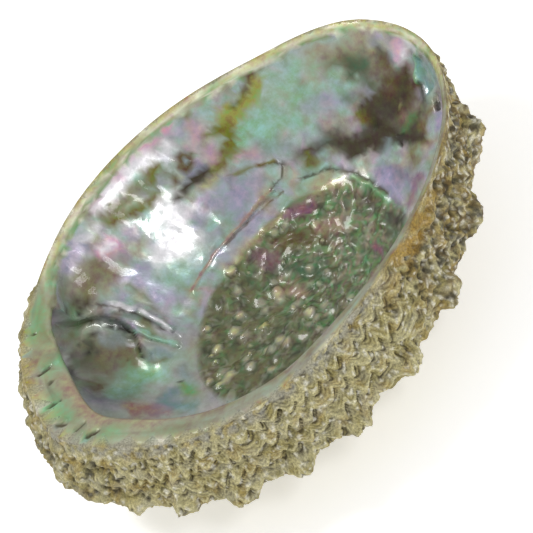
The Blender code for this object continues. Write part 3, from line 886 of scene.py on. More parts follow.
@dataclass
class OutsideRelief:
    """Relief of the lime crust: rows of lobed frills, knobs, folds, cords, suture, lumps and pits."""

    rows: float = 4.2
    lobes_per_step: int = 4
    frill_height: float = 1.7
    lobe_depth: float = 0.48
    lamella_spacing: float = 1.3
    lamella_height: float = 0.10
    cord_degrees: float = 5.5
    cord_height: float = 0.7
    fold_degrees: float = 9.67
    fold_start: float = 20.0
    fold_height: float = 1.3
    growth_line_degrees: float = 1.37
    growth_line_height: float = 0.18
    lump: float = 5.0
    lump_height: float = 0.9
    spire_radius: float = 17.0
    spire_height: float = 5.0
    suture_depth: float = 1.6
    suture_width: float = 0.10
    suture_end: float = 34.0

    def frills(self, place: np.ndarray, steps: np.ndarray, points: np.ndarray,
               row_length: np.ndarray) -> tuple[np.ndarray, np.ndarray]:
        """Shape the overlapping rows of scales, whose lips hang down in rounded lobes.

        Args:
            place: share of the wall's length from the rim down.
            steps: growth steps back from the newest knob.
            points: places in millimetres.
            row_length: length of one row down the wall.

        Returns:
            The height at each place, and its painted light and shade: above 0 for a painted highlight on a
            lip, below 0 for painted shade in the hollow under it.
        """
        row = place * self.rows + 0.20 * rumple(points, 12.0, 3)
        wander = 0.25 * rumple(points, 10.0, 4)
        height = np.full(len(points), FAR_BELOW)
        shade = np.zeros(len(points))
        for index in range(int(self.rows) + 3):
            shift = 0.15 * index
            lobe = np.abs(np.cos(math.pi * (self.lobes_per_step * steps + shift + wander))) ** 1.3
            back = row - index - self.lobe_depth * (lobe - 0.5)
            scale = np.where(back < 0.0, 1.0 + 0.8 * back, 1.0 - back / 0.10)
            stripes = np.sin(math.tau * back * row_length / self.lamella_spacing) * (back < 0.05)
            scale = scale * (0.62 + 0.38 * lobe) + self.lamella_height * stripes
            scale = np.where(back < -1.25, FAR_BELOW, scale)
            on_top = scale > height
            height = np.where(on_top, scale, height)
            # Painted light and shade: a light lip, painted shade under it and under the lip above, and
            # light and dark lamella stripes
            painted_light_and_shade = 0.8 * bell((back + 0.12) / 0.14) - 1.1 * ease((back - 0.02) / 0.08) + 0.5 * stripes
            painted_light_and_shade -= 0.7 * bell((back + 0.93) / 0.17)
            shade = np.where(on_top, painted_light_and_shade, shade)
        return self.frill_height * (np.maximum(height, -0.1) - 0.35), shade

    def height(self, form: ShellForm, knobs: Tubercles, points: np.ndarray, run: np.ndarray,
               wall_length: np.ndarray, steps: np.ndarray) -> tuple[np.ndarray, np.ndarray]:
        """Height of the crust over the plain outside.

        Args:
            form: the shell's shape.
            knobs: the knobs along the keel.
            points: places in millimetres.
            run: distance down the section from the rim.
            wall_length: length of the side wall at each place.
            steps: growth steps back from the newest knob.

        Returns:
            The height at each place and its painted light and shade.
        """
        reach, size, along, across = form.growth(points)
        scale = np.clip(reach / 120.0, 0.02, 1.0)
        place = run / np.maximum(wall_length, 3.0)
        walled = ease((wall_length - 5.0) / 8.0)
        on_wall = walled * ease((1.12 - place) / 0.14)
        fade_in = ease(run / 3.5)

        worn = np.clip(0.9 ** steps, 0.25, 1.0) ** 0.5
        wall, shade = self.frills(place, steps, points, wall_length / self.rows)
        rubble = self.rubble(points)
        ragged = 0.85 * rubble * (0.6 + rumple(points, 4.0, 12)) - 0.6 * rubble
        wall = wall * worn * (1.0 - 0.65 * rubble) + 0.7 * ragged
        past_start = along - self.fold_start
        fold = np.cos(math.tau * past_start / self.fold_degrees + 0.5 * rumple(points, 30.0, 5))
        cord = np.cos(math.tau * across / self.cord_degrees + 0.4 * rumple(points, 18.0, 6))
        line = np.sin(math.tau * along / self.growth_line_degrees + rumple(points, 9.0, 7))
        dome = self.fold_height * fold * scale ** 0.8 + self.cord_height * cord * scale ** 0.6
        dome += self.growth_line_height * line * scale
        spire = self.spire_height * bell(reach / self.spire_radius)
        whorl = form.widening * math.tau
        seam = np.mod(size - form.keel_size + 0.5 * whorl, whorl) - 0.5 * whorl
        spire -= self.suture_depth * bell(seam / self.suture_width) * ease((self.suture_end - reach) / 20.0)

        relief = on_wall * wall + (1.0 - on_wall) * (dome + spire)
        relief += self.lump_height * rumple(points, self.lump, 8) * (0.35 + 0.1 * on_wall)
        relief += 0.16 * rumple(points, 1.9, 9)
        relief += walled * knobs.relief(steps, run - wall_length, points)
        return relief * fade_in, shade * on_wall * (1.0 - 0.6 * rubble)

    @staticmethod
    def rubble(points: np.ndarray) -> np.ndarray:
        """Find how far the frills have broken down, wholly near the front tip and nearly so at the back.

        Args:
            points: places in millimetres.

        Returns:
            The share of rubble at each place.
        """
        past_near_side = (np.degrees(np.arctan2(points[:, 1], points[:, 0])) + 90.0) % 360.0
        front = between(past_near_side, 16.0, 26.0, 112.0, 26.0)
        back = 0.75 * between(past_near_side, 240.0, 20.0, 312.0, 22.0)
        return np.maximum(front, back)


@dataclass
class InsideRelief:
    """Relief of the inside: spire pocket, its hooked edge, suture ridge, muscle scar and small marks."""

    hook_radius: Stations = ((-140, 13.0), (-90, 12.0), (-45, 8.5), (-20, 7.2), (15, 8.4), (47, 8.0),
                             (104, 7.6), (140, 9.6), (178, 13.0))
    hook_slope: Stations = ((-140, 12.0), (-90, 15.0), (-45, 8.0), (-20, 1.8), (15, 0.7), (100, 0.7),
                            (140, 1.0), (178, 5.0))
    pocket_depth: float = 4.6
    ridge: Stations = ((-180, 26.0), (-14, 17.0), (27, 11.7), (79, 9.2), (140, 8.6))
    ridge_height: float = 1.1
    ridge_width: float = 1.6
    bead_length: float = 2.3
    bead_height: float = 0.12
    scar_middle: tuple[float, float] = (4.0, -1.0)
    scar_half: tuple[float, float] = (37.0, 26.0)
    scar_turn: float = 7.0
    scar_rise: float = 0.55
    scar_line_span: float = 28.0
    scar_line_spacing: float = 3.4

    def scar_oval(self, points: np.ndarray) -> np.ndarray:
        """Measure places against the scar's oval.

        Args:
            points: places in millimetres.

        Returns:
            The distance from the scar's middle, 1 on its edge.
        """
        tilt = math.radians(self.scar_turn)
        east = points[:, 0] - self.scar_middle[0]
        north = points[:, 1] - self.scar_middle[1]
        return np.hypot((east * math.cos(tilt) + north * math.sin(tilt)) / self.scar_half[0],
                        (north * math.cos(tilt) - east * math.sin(tilt)) / self.scar_half[1])

    def scar_lines(self, oval: np.ndarray, points: np.ndarray) -> np.ndarray:
        """Wave of the growth lines that run round the scar, from -1 to 1."""
        ragged = self.scar_line_span * oval + 2.4 * rumple(points, 9.0, 32)
        return np.sin(math.tau * ragged / self.scar_line_spacing)

    def pocket(self, form: ShellForm, points: np.ndarray) -> np.ndarray:
        """Share of the pocket's depth at each place."""
        reach, turn = form.about_apex(points)
        return 1.0 - ease((reach - around(self.hook_radius, turn)) / around(self.hook_slope, turn) + 0.5)

    def ridge_place(self, form: ShellForm, points: np.ndarray) -> tuple[np.ndarray, np.ndarray]:
        """Find places along the suture ridge.

        Args:
            form: the shell's shape.
            points: places in millimetres.

        Returns:
            How much of the ridge is at each place, and the run along it in millimetres.
        """
        reach, turn = form.about_apex(points)
        held = between(turn, -0.55, 0.5, 1.35, 0.6)
        return held * bell((reach - around(self.ridge, turn)) / self.ridge_width), turn * reach

    def height(self, form: ShellForm, points: np.ndarray, run: np.ndarray, inner: np.ndarray) -> np.ndarray:
        """Height of the inside over its plain surface.

        Args:
            form: the shell's shape.
            points: places in millimetres.
            run: distance down the section from the rim.
            inner: 0 on the ledge and 1 in the bowl.

        Returns:
            The height at each place.
        """
        relief = -self.pocket_depth * self.pocket(form, points)
        ridge, along = self.ridge_place(form, points)
        beads = self.bead_height * np.cos(math.tau * along / self.bead_length)
        relief += ridge * (self.ridge_height + beads)

        oval = self.scar_oval(points)
        scar = ease((1.04 - oval) / 0.12)
        streaked = ease((points[:, 0] + 3.0 * rumple(points, 8.0, 31) + 8.0) / 16.0)
        lines = self.scar_lines(oval, points)
        relief += scar * (self.scar_rise + 0.12 * streaked * lines + 0.30 * rumple(points, 5.0, 11))
        relief += 0.06 * scar * rumple(points, 2.8, 35)
        relief += 0.12 * rumple(points, 7.0, 33) + 0.05 * rumple(points, 2.6, 34)
        relief *= inner
        final = points - GROWTH_MIDDLE
        warp = ragged_edges(final)
        for marks, share in ((BOWL_MARKS, inner), (LEDGE_MARKS, 1.0 - inner)):
            region = share > 0.5
            for mark in marks:
                if mark.rise:
                    relief[region] += mark.rise * mark.cover(final[region], warp[region])
        return relief * ease(run / 4.0)


@dataclass(frozen=True)
class Nacre:
    """Nacre, grown in thin layers: its glow is a colour that lies under a clear, slightly rippled gloss."""

    roughness: float = 0.26
    metallic: float = 0.18
    coat: float = 0.55
    coat_roughness: float = 0.06
    stained_roughness: float = 0.6
    stained_coat: float = 0.05
    shimmer: float = 2.2
    hue_swing: float = 0.07
    saturation: float = 1.25
    darkest: float = 0.82
    brightest: float = 1.12
    ripple: float = 1.6
    ripple_depth: float = 0.12

    def material(self) -> bpy.types.Material:
        """Build the material from the painted colour, duller where a stain covers it.

        Returns:
            The material.
        """
        material, shader = start_material("nacre")
        tree = material.node_tree
        place = add(tree, "TexCoord", {})
        paint = add(tree, "Attribute", {}, attribute_name="paint")
        dull = add(tree, "Attribute", {}, attribute_name="dull")

        shimmer = add(tree, "TexNoise", {"Vector": place.outputs["Object"], "Detail": 4.0, "Roughness": 0.6,
                                         "Scale": 1.0 / (self.shimmer * MM)})
        hue = add(tree, "MapRange", {0: shimmer.outputs["Fac"], 1: 0.3, 2: 0.7,
                                     3: 0.5 - self.hue_swing, 4: 0.5 + self.hue_swing})
        value = add(tree, "MapRange", {0: shimmer.outputs["Fac"], 1: 0.3, 2: 0.7,
                                       3: self.darkest, 4: self.brightest})
        glow = add(tree, "HueSaturation", {"Hue": hue.outputs[0], "Saturation": self.saturation,
                                           "Value": value.outputs[0], "Color": paint.outputs["Color"]})
        tree.links.new(glow.outputs["Color"], shader.inputs["Base Color"])

        for socket, clean, stained in (("Roughness", self.roughness, self.stained_roughness),
                                       ("Metallic", self.metallic, 0.0),
                                       ("Coat Weight", self.coat, self.stained_coat)):
            level = add(tree, "MapRange", {0: dull.outputs["Fac"], 3: clean, 4: stained})
            tree.links.new(level.outputs[0], shader.inputs[socket])
        shader.inputs["Coat Roughness"].default_value = self.coat_roughness

        waves = add(tree, "TexNoise", {"Vector": place.outputs["Object"], "Scale": 1.0 / (self.ripple * MM),
                                       "Detail": 3.0})
        bump = add(tree, "Bump", {"Strength": 0.35, "Distance": self.ripple_depth * MM,
                                  "Height": waves.outputs["Fac"]})
        tree.links.new(bump.outputs["Normal"], shader.inputs["Normal"])
        return material


@dataclass(frozen=True)
class LimeCrust:
    """Weathered lime of the outside: chalky and gritty, with shade painted into its hollows."""

    roughness: float = 0.72
    rubbed_roughness: float = 0.35
    grit: float = 0.55
    darkest: float = 0.55
    brightest: float = 1.3
    lump: float = 1.8
    lump_depth: float = 0.6

    def material(self) -> bpy.types.Material:
        """Build the material from the painted colour, smoother where the crust is rubbed.

        Returns:
            The material.
        """
        material, shader = start_material("lime crust")
        tree = material.node_tree
        place = add(tree, "TexCoord", {})
        paint = add(tree, "Attribute", {}, attribute_name="paint")
        dull = add(tree, "Attribute", {}, attribute_name="dull")
        grit = add(tree, "TexNoise", {"Vector": place.outputs["Object"], "Scale": 1.0 / (self.grit * MM),
                                      "Detail": 5.0, "Roughness": 0.7})
        speck = add(tree, "MapRange", {0: grit.outputs["Fac"], 1: 0.35, 2: 0.65,
                                       3: self.darkest, 4: self.brightest})
        shade = add(tree, "Mix", {0: 1.0, "A": paint.outputs["Color"], "B": speck.outputs[0]},
                    data_type="RGBA", blend_type="MULTIPLY")
        colour = [socket for socket in shade.outputs if socket.type == "RGBA"][0]
        tree.links.new(colour, shader.inputs["Base Color"])
        rough = add(tree, "MapRange", {0: dull.outputs["Fac"], 3: self.rubbed_roughness, 4: self.roughness})
        tree.links.new(rough.outputs[0], shader.inputs["Roughness"])
        lumps = add(tree, "TexNoise", {"Vector": place.outputs["Object"], "Scale": 1.0 / (self.lump * MM),
                                       "Detail": 6.0, "Roughness": 0.65})
        bump = add(tree, "Bump", {"Strength": 0.8, "Distance": self.lump_depth * MM,
                                  "Height": lumps.outputs["Fac"]})
        tree.links.new(bump.outputs["Normal"], shader.inputs["Normal"])
        return material


@dataclass
class AbaloneShell:
    """The whole shell, grown as one piece.

    The fields without a value are worked out by carve, with one entry for each point of the dense grid.
    """

    form: ShellForm = field(default_factory=ShellForm)
    knobs: Tubercles = field(default_factory=Tubercles)
    outside: OutsideRelief = field(default_factory=OutsideRelief)
    inside: InsideRelief = field(default_factory=InsideRelief)
    nacre: Nacre = Nacre()
    crust: LimeCrust = LimeCrust()
    triangles: int = 188000
    sharpest_edge: float = 75.0
    pits: int = 650
    pebbles: int = 75

    base: np.ndarray = field(init=False, repr=False)
    normal: np.ndarray = field(init=False, repr=False)
    points: np.ndarray = field(init=False, repr=False)
    plain_rise: np.ndarray = field(init=False, repr=False)
    rise: np.ndarray = field(init=False, repr=False)
    run: np.ndarray = field(init=False, repr=False)
    place: np.ndarray = field(init=False, repr=False)
    region: np.ndarray = field(init=False, repr=False)
    shade: np.ndarray = field(init=False, repr=False)
    shelf: np.ndarray = field(init=False, repr=False)
    hollow: np.ndarray = field(init=False, repr=False)
    bumps: np.ndarray = field(init=False, repr=False)

    def carve(self) -> None:
        """Work out the dense grid with its relief, and the values that later paint it, among them the
        frills' painted light and shade.
        """
        form = self.form
        grid = form.bare_grid()
        normal = form.grid_normals(grid)
        angle = math.tau * np.arange(form.meridians) / form.meridians
        steps = self.knobs.steps(form)
        wall_length = np.hypot(around(form.keel_out, angle), np.maximum(around(form.keel_drop, angle), 0.0))
        edge = around(form.rim_height, angle) - form.ledge_dip * around(form.ledge_width, angle)
        below = edge - form.bowl_start * np.clip(around(form.undercut, angle), 0.0, 1.0)

        lip = form.rings_inside
        stretch = np.linalg.norm(np.diff(grid, axis=0), axis=2)
        run = np.zeros(grid.shape[:2])
        run[lip + 1:] = np.cumsum(stretch[lip:], axis=0)
        run[:lip] = np.cumsum(stretch[:lip][::-1], axis=0)[::-1]
        inner = ease((below[None, :] - grid[:lip, :, 2]) / 3.0)

        rise = np.zeros(grid.shape[:2])
        flat_in = grid[:lip].reshape(-1, 3)
        flat_out = grid[lip + 1:].reshape(-1, 3)
        rows_out = grid.shape[0] - lip - 1
        rise[:lip] = self.inside.height(form, flat_in, run[:lip].ravel(), inner.ravel()).reshape(lip, -1)
        height, painted_light_and_shade = self.outside.height(form, self.knobs, flat_out, run[lip + 1:].ravel(),
                                          np.tile(wall_length, rows_out), np.tile(steps, rows_out))
        rise[lip + 1:] = height.reshape(rows_out, -1)
        shade = np.zeros(grid.shape[:2])
        shade[lip + 1:] = painted_light_and_shade.reshape(rows_out, -1)

        count = grid.shape[0] * grid.shape[1]
        region = np.full(grid.shape[:2], Region.CRUST.value)
        region[:lip] = np.where(inner > 0.5, Region.BOWL.value, Region.LEDGE.value)
        self.base = grid.reshape(count, 3)
        self.normal = normal.reshape(count, 3)
        self.rise = rise.ravel()
        self.run = run.ravel()
        self.place = (run / np.maximum(wall_length, 3.0)[None, :]).ravel()
        self.region = region.ravel()
        self.shade = shade.ravel()
        self.shelf = np.tile(ease((around(form.ledge_width, angle) - 3.0) / 3.0), grid.shape[0])
        self.hollow = np.zeros(count)
        self.bumps = np.zeros(count)
        self.stamp()
        self.points = self.base + self.normal * self.rise[:, None] - GROWTH_MIDDLE

    def stamp(self) -> None:
        """Press pits into the crust and set pebbles on the scar, at seeded places."""
        tree = search_tree(self.base)
        crusted = self.region == Region.CRUST.value
        bowl = self.region == Region.BOWL.value
        draw = np.random.default_rng(17)
        self.plain_rise = self.rise.copy()

        rubble = self.outside.rubble(self.base)
        on_wall = (0.02 + 0.98 * rubble * ease((self.place - 0.1) / 0.2)) * (self.place < 1.2)
        chance = (on_wall + 0.004) * (crusted * (self.run > 1.0))
        chosen = draw.choice(len(self.base), self.pits, replace=False, p=chance / chance.sum())
        for index in chosen:
            radius = draw.uniform(0.45, 1.0) * (1.0 + 0.5 * rubble[index])
            self.press(tree, index, radius, -draw.uniform(0.5, 1.1), crusted)

        oval = self.inside.scar_oval(self.base)
        west = 1.0 - ease((self.base[:, 0] - 6.0) / 16.0)
        from_middle = np.linalg.norm(self.base[:, :2], axis=1)
        chance = (oval < 0.98) * (0.03 + 0.97 * west) * bowl * from_middle
        chosen = draw.choice(len(self.base), self.pebbles, replace=False, p=chance / chance.sum())
        for index in chosen:
            self.press(tree, index, draw.uniform(0.6, 2.4), draw.uniform(0.2, 0.7), bowl)

    def press(self, tree: KDTree, index: int, radius: float, height: float, allowed: np.ndarray) -> None:
        """Add one round bump or pit to the relief.

        Args:
            tree: finds the grid's points by place.
            index: the grid point at its middle.
            radius: its radius.
            height: its height, below 0 for a pit.
            allowed: which grid points may move.
        """
        found = tree.find_range(Vector(self.base[index]), radius)
        near = np.array([hit[1] for hit in found])
        away = np.array([hit[2] for hit in found]) / radius
        share = np.clip(1.0 - away ** 2, 0.0, 1.0) ** 0.7 * allowed[near]
        bare = self.plain_rise[near] + height * share
        if height < 0.0:
            self.rise[near] = np.minimum(self.rise[near], bare)
            self.hollow[near] = np.maximum(self.hollow[near], share)
        else:
            self.rise[near] = np.maximum(self.rise[near], bare)
            self.bumps[near] = np.maximum(self.bumps[near], share * (0.5 + 0.5 * height))

    def grow(self) -> bpy.types.Object:
        """Model the shell's mesh from a sphere whose meridians become sections of the shell.

        Returns:
            The shell's object.
        """
        form = self.form
        rings = form.rings_inside + form.rings_outside
        bpy.ops.object.select_all(action="DESELECT")
        bpy.ops.mesh.primitive_uv_sphere_add(segments=form.meridians // SPHERE_SPLIT,
                                             ring_count=rings // SPHERE_SPLIT, radius=1.0)
        shell = bpy.context.object
        bpy.ops.object.mode_set(mode="EDIT")
        bpy.ops.mesh.select_all(action="SELECT")
        bpy.ops.mesh.subdivide(number_cuts=SPHERE_SPLIT - 1)
        bpy.ops.object.mode_set(mode="OBJECT")
        shell.name = shell.data.name = "abalone_shell"
        ball = corners_of(shell.data)
        ball /= np.linalg.norm(ball, axis=1)[:, None]
        ring = np.rint(np.arccos(np.clip(ball[:, 2], -1.0, 1.0)) / math.pi * rings).astype(int)
        turn = np.rint(np.arctan2(ball[:, 1], ball[:, 0]) / math.tau * form.meridians).astype(int)
        source = ring * form.meridians + np.mod(turn, form.meridians)
        shell.data.vertices.foreach_set("co", (self.points[source] * MM).ravel())
        shell.data.update()

        self.knobs.open_pores(shell, form)
        fewer = shell.modifiers.new("fewer faces", "DECIMATE")
        fewer.ratio = self.triangles / (2 * form.meridians * (rings - 1))
        bpy.ops.object.modifier_apply(modifier=fewer.name)
        bpy.ops.object.mode_set(mode="EDIT")
        bpy.ops.mesh.select_all(action="SELECT")
        bpy.ops.mesh.bisect(plane_co=(0.0, 0.0, 0.0), plane_no=(0.0, 0.0, -1.0), use_fill=True,
                            clear_outer=True)
        bpy.ops.object.mode_set(mode="OBJECT")
        shell.data.validate()
        bpy.ops.object.shade_smooth_by_angle(angle=math.radians(self.sharpest_edge))
        return shell

    def paint_bowl(self, points: np.ndarray, nearest: np.ndarray) -> Canvas:
        """Paint the nacre of the bowl.

        Args:
            points: places in millimetres.
            nearest: the grid point next to each place.

        Returns:
            The painted points.
        """
        canvas = Canvas(points, Paint.SILVER)
        canvas.dapple(Paint.AQUA, 0.6, 17.0, 41)
        canvas.dapple(Paint.LILAC, 0.5, 14.0, 42, 0.2)
        canvas.dapple(Paint.GREEN, 0.4, 8.0, 43, 0.2)
        canvas.dapple(Paint.PINK, 0.35, 7.0, 44, 0.0)
        canvas.dapple(Paint.SAND, 0.5, 9.0, 45, 0.2)
        canvas.dapple(Paint.LILAC, 0.5, 3.6, 46, 0.1)
        canvas.dapple(Paint.AQUA, 0.5, 3.2, 47, 0.1)
        canvas.dapple(Paint.DRAB, 0.35, 4.2, 48, -0.1)
        canvas.lay(Paint.SAND, 0.6 * ease((4.5 - self.run[nearest]) / 3.0))

        floor = ease((-8.0 - points[:, 0]) / 12.0) * ease((26.0 - points[:, 1]) / 10.0)
        canvas.lay(Paint.HAZE, 0.6 * floor)
        pocket = self.inside.pocket(self.form, points + GROWTH_MIDDLE)
        canvas.lay(Paint.DRAB, 0.35 * pocket)
        self.paint_scar(canvas, self.bumps[nearest])
        for mark in BOWL_MARKS:
            canvas.draw(mark)

        # painted shadow along the hooked edge that overhangs the spire pocket
        overhang_shadow = bell((pocket - 0.62) / 0.20) * ease((points[:, 1] - 21.0) / 5.0)
        canvas.lay(Paint.SOOT, 0.9 * overhang_shadow)
        return canvas

    def paint_scar(self, canvas: Canvas, bumps: np.ndarray) -> None:
        """Paint the muscle scar: mossy, with growth lines to the east and pale pebbles, with a painted
        highlight on their tops and painted shade round their feet.

        Args:
            canvas: the bowl's canvas.
            bumps: how high each place is on a pebble.
        """
        points = canvas.points
        oval = self.inside.scar_oval(points + GROWTH_MIDDLE)
        scar = ease((1.03 - oval) / 0.05)
        streaked = ease((points[:, 0] + 3.0 * rumple(points, 9.0, 31) + 5.0) / 16.0)
        canvas.lay(Paint.MOSS, 0.92 * scar)
        canvas.lay(Paint.PINE, 0.6 * scar * ease(0.2 + 0.8 * rumple(points, 5.0, 51) + 0.3 * streaked))
        lines = self.inside.scar_lines(oval, points)
        canvas.lay(Paint.LEAF, 0.6 * scar * streaked * ease(-lines - 0.1))
        canvas.lay(Paint.SOOT, 0.5 * scar * streaked * bell((lines + 0.1) / 0.25))
        flushed = ease(0.6 + rumple(points, 7.0, 52))
        canvas.lay(Paint.ROSE, 0.5 * scar * streaked * ease(lines - 0.2) * flushed)
        canvas.lay(Paint.SOOT, 0.45 * scar * ease(1.5 * rumple(points, 3.2, 54) - 0.7))
        canvas.lay(Paint.LEAF, 0.3 * scar * ease(1.2 * rumple(points, 3.6, 55) - 0.3))
        layers = np.sin(math.pi * (2.2 * rumple(points, 9.0, 57) + 9.0 * oval))
        canvas.lay(Paint.SOOT, 0.55 * scar * bell(layers / 0.28))
        canvas.lay(Paint.HAZE, 0.45 * scar * bell((layers - 0.55) / 0.2))
        # Pebbles: their own pale colour, lighter to their tops as a painted highlight, and painted shade
        # round their feet
        canvas.lay(Paint.HAZE, 0.6 * ease((bumps - 0.3) / 0.3))
        canvas.lay(Paint.STRAW, 0.65 * ease((bumps - 0.5) / 0.3) * (1.0 - 0.4 * streaked))
        canvas.lay(Paint.SOOT, 0.5 * bell((bumps - 0.12) / 0.09) * (1.0 - 0.5 * streaked))
        canvas.dull = 0.45 * scar

    def paint_ledge(self, points: np.ndarray, run: np.ndarray, shelf: np.ndarray) -> Canvas:
        """Paint the shelf of the inner lip, and the bare rim where there is no shelf.

        Args:
            points: places in millimetres.
            run: distance from the rim's outer edge.
            shelf: 1 on the shelf and 0 on the bare rim.

        Returns:
            The painted points.
        """
        canvas = Canvas(points, Paint.GREEN)
        canvas.dapple(Paint.LEAF, 0.6, 7.0, 61)
        canvas.dapple(Paint.SAND, 0.7, 9.0, 62)
        canvas.dapple(Paint.HAZE, 0.5, 4.0, 63)
        canvas.dapple(Paint.MOSS, 0.55, 2.6, 64, 0.2)
        near = ease((points[:, 0] + 50.0) / 16.0) * (points[:, 1] < 0.0)
        canvas.lay(Paint.HAZE, 0.25 + 0.5 * near)
        canvas.lay(Paint.DRAB, 0.6 * near * ease(0.4 + rumple(points, 5.0, 66)))
        inner_band = ease((run - 6.5) / 3.0) * shelf
        canvas.lay(Paint.ROSE, 0.6 * inner_band * ease((14.0 - points[:, 1]) / 10.0))
        canvas.lay(Paint.STEEL, 0.5 * ease((3.0 - run) / 2.5) * shelf)
        far = (1.0 - shelf) * ease((points[:, 1] + 10.0) / 12.0)
        canvas.lay(Paint.STRAW, 0.8 * far * ease((3.2 - run) / 1.5))
        canvas.lay(Paint.CHALK, 0.7 * far * ease(0.4 + rumple(points, 2.4, 67)))
        canvas.lay(Paint.LEAF, 0.6 * far * ease(1.2 * rumple(points, 2.8, 68) - 0.2))
        canvas.lay(Paint.MOSS, 0.35 * (1.0 - shelf) * ease(rumple(points, 3.0, 65)))
        for mark in LEDGE_MARKS:
            canvas.draw(mark)
        canvas.dull = np.maximum(canvas.dull, 0.35)
        return canvas

    def paint_crust(self, points: np.ndarray, nearest: np.ndarray) -> Canvas:
        """Paint the lime crust, with painted light and shade on its frills and painted shade in its low
        places and pits.

        Args:
            points: places in millimetres.
            nearest: the grid point next to each place.

        Returns:
            The painted points.
        """
        canvas = Canvas(points, Paint.KHAKI)
        rise = self.rise[nearest]
        run = self.run[nearest]
        shade = self.shade[nearest]
        base = self.base[nearest]
        rubble = self.outside.rubble(base)
        angle = np.degrees(np.arctan2(base[:, 1], base[:, 0])) % 360.0
        canvas.dapple(Paint.STRAW, 0.6, 7.0, 71)
        canvas.dapple(Paint.MOSS, 0.4, 4.0, 72, 0.2)
        canvas.dapple(Paint.OCHRE, 0.35, 6.0, 76, 0.1)
        canvas.dapple(Paint.HAZE, 0.35, 5.0, 77, 0.1)
        # painted shade where the relief sinks low
        canvas.lay(Paint.UMBER, 0.5 * ease((-0.6 - rise) / 1.4))
        # painted highlight on the frills' lips, and painted shade in the hollows under them
        canvas.lay(Paint.STRAW, 0.85 * ease(1.2 * shade - 0.1))
        canvas.lay(Paint.UMBER, 0.9 * ease(-1.3 * shade - 0.1))
        front = rubble * (points[:, 0] > 0.0)
        canvas.lay(Paint.OCHRE, 0.4 * front * ease(rumple(points, 6.0, 80)))
        canvas.lay(Paint.BROWN, 0.75 * front * ease(1.4 * rumple(points, 2.8, 78)))
        canvas.lay(Paint.CHALK, 0.7 * ease(1.8 * rumple(points, 1.7, 75) - 1.3 + 0.5 * front))
        # painted shade in the pits
        canvas.lay(Paint.SOOT, 0.75 * ease(2.5 * self.hollow[nearest] - 1.3))
        near_side = between(angle, 170.0, 20.0, 300.0, 20.0)
        lime = ease(0.5 + rumple(points, 2.4, 74))
        canvas.lay(Paint.HAZE, 0.7 * near_side * ease((4.5 - run) / 3.0) * lime)
        ochre = bell((angle - 308.0) / 13.0) * ease((7.0 - run) / 2.0)
        canvas.lay(Paint.OCHRE, 0.9 * ochre * ease(0.8 + 0.6 * rumple(points, 3.0, 79)))
        canvas.dull = 1.0 - 0.5 * ochre
        return canvas

    def dress(self, shell: bpy.types.Object) -> None:
        """Give the shell its colours and its two materials.

        Args:
            shell: the shell's object.
        """
        mesh = shell.data
        tree = search_tree(self.points)
        place = corners_of(mesh) / MM
        nearest = np.array([tree.find(Vector(point))[1] for point in place])
        region = self.region[nearest]

        colour = np.ones((len(place), 4))
        dull = np.zeros(len(place))
        for kind in Region:
            mask = region == kind.value
            where = nearest[mask]
            if kind is Region.BOWL:
                canvas = self.paint_bowl(place[mask], where)
            elif kind is Region.LEDGE:
                canvas = self.paint_ledge(place[mask], self.run[where], self.shelf[where])
            else:
                canvas = self.paint_crust(place[mask], where)
            colour[mask, :3] = canvas.colour
            dull[mask] = canvas.dull

        paint = mesh.color_attributes.new("paint", "FLOAT_COLOR", "POINT")
        paint.data.foreach_set("color", np.clip(colour, 0.0, 1.0).ravel())
        matt = mesh.attributes.new("dull", "FLOAT", "POINT")
        matt.data.foreach_set("value", dull)
        mesh.materials.clear()
        mesh.materials.append(self.nacre.material())
        mesh.materials.append(self.crust.material())
        crusted = region == Region.CRUST.value
        for face in mesh.polygons:
            on_crust = sum(crusted[vertex] for vertex in face.vertices)
            face.material_index = int(2 * on_crust > len(face.vertices))

    def build(self) -> bpy.types.Object:
        """Model, dress and register the shell.

        Returns:
            The shell's object.
        """
        self.carve()
        shell = self.grow()
        self.dress(shell)
        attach(shell, "root")
        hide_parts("shell")
        LOG.info("%s: %d faces", shell.name, len(shell.data.polygons))
        return shell


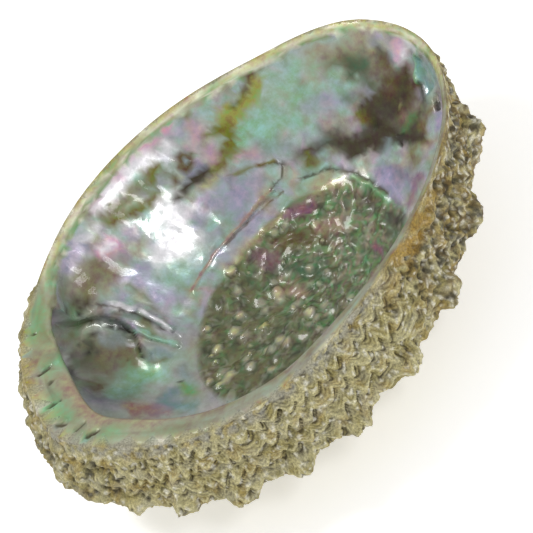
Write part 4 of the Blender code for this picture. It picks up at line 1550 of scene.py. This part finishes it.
@dataclass
class Studio:
    """Pale floor, soft lights and the camera over the shell's inner-lip side, in metres and degrees."""

    target: tuple[float, float, float] = (0.0040, -0.0051, 0.0330)
    elevation: float = 43.0
    distance: float = 0.60
    roll: float = -40.7
    view_width: float = 0.1415
    sensor: float = 36.0
    floor_size: float = 4.0
    floor_colour: str = "#F4F4F4"
    floor_glow: float = 0.42
    room_light: float = 0.55

    def camera(self) -> None:
        """Set up the camera, turned about its axis so that the shell lies across the picture's diagonal."""
        data = bpy.data.cameras.new("camera")
        camera = bpy.data.objects.new("camera", data)
        bpy.context.scene.collection.objects.link(camera)
        lift = math.radians(self.elevation)
        back = Vector((0.0, -math.cos(lift), math.sin(lift)))
        turn = back.to_track_quat("Z", "Y").to_matrix() @ Matrix.Rotation(math.radians(self.roll), 3, "Z")
        camera.matrix_world = Matrix.Translation(Vector(self.target) + back * self.distance) @ turn.to_4x4()
        data.sensor_width = self.sensor
        data.lens = self.sensor * self.distance / self.view_width
        data.clip_start = 0.01
        bpy.context.scene.camera = camera

    def floor(self) -> None:
        """Lay the pale floor, which glows a little so that it stays as light as paper."""
        bpy.ops.object.select_all(action="DESELECT")
        bpy.ops.mesh.primitive_plane_add(size=self.floor_size)
        floor = bpy.context.object
        floor.name = "floor"
        material, shader = start_material("pale floor")
        shader.inputs["Base Color"].default_value = (*linear(self.floor_colour), 1.0)
        shader.inputs["Roughness"].default_value = 0.9
        shader.inputs["Emission Color"].default_value = (1.0, 1.0, 1.0, 1.0)
        shader.inputs["Emission Strength"].default_value = self.floor_glow
        floor.data.materials.append(material)

    def lamp(self, name: str, place: tuple[float, float, float], size: float, power: float) -> None:
        """Hang a soft square light that points at the shell.

        Args:
            name: the light's name.
            place: its place in metres.
            size: its side in metres.
            power: its power in watts.
        """
        data = bpy.data.lights.new(name, "AREA")
        data.size = size
        data.energy = power
        lamp = bpy.data.objects.new(name, data)
        lamp.location = place
        lamp.rotation_euler = (Vector(place) - Vector((0.0, 0.0, 0.02))).to_track_quat("Z", "Y").to_euler()
        bpy.context.scene.collection.objects.link(lamp)

    def lights(self) -> None:
        """Light the shell softly from above and from behind the camera."""
        world = bpy.data.worlds.new("studio")
        bpy.context.scene.world = world
        world.use_nodes = True
        back = world.node_tree.nodes["Background"]
        back.inputs["Color"].default_value = (1.0, 1.0, 1.0, 1.0)
        back.inputs["Strength"].default_value = self.room_light
        self.lamp("window", (0.23, -0.49, 0.52), 0.15, 1.1)
        self.lamp("sky", (-0.30, 0.25, 0.75), 0.20, 2.4)

    def build(self) -> None:
        """Set up the studio."""
        self.floor()
        self.lights()
        self.camera()
        bpy.context.scene.view_settings.view_transform = "Standard"


def main() -> None:
    """Build the studio and the shell."""
    logging.basicConfig(level=logging.INFO, format="%(message)s")
    Studio().build()
    AbaloneShell().build()


if __name__ == "__main__":
    main()
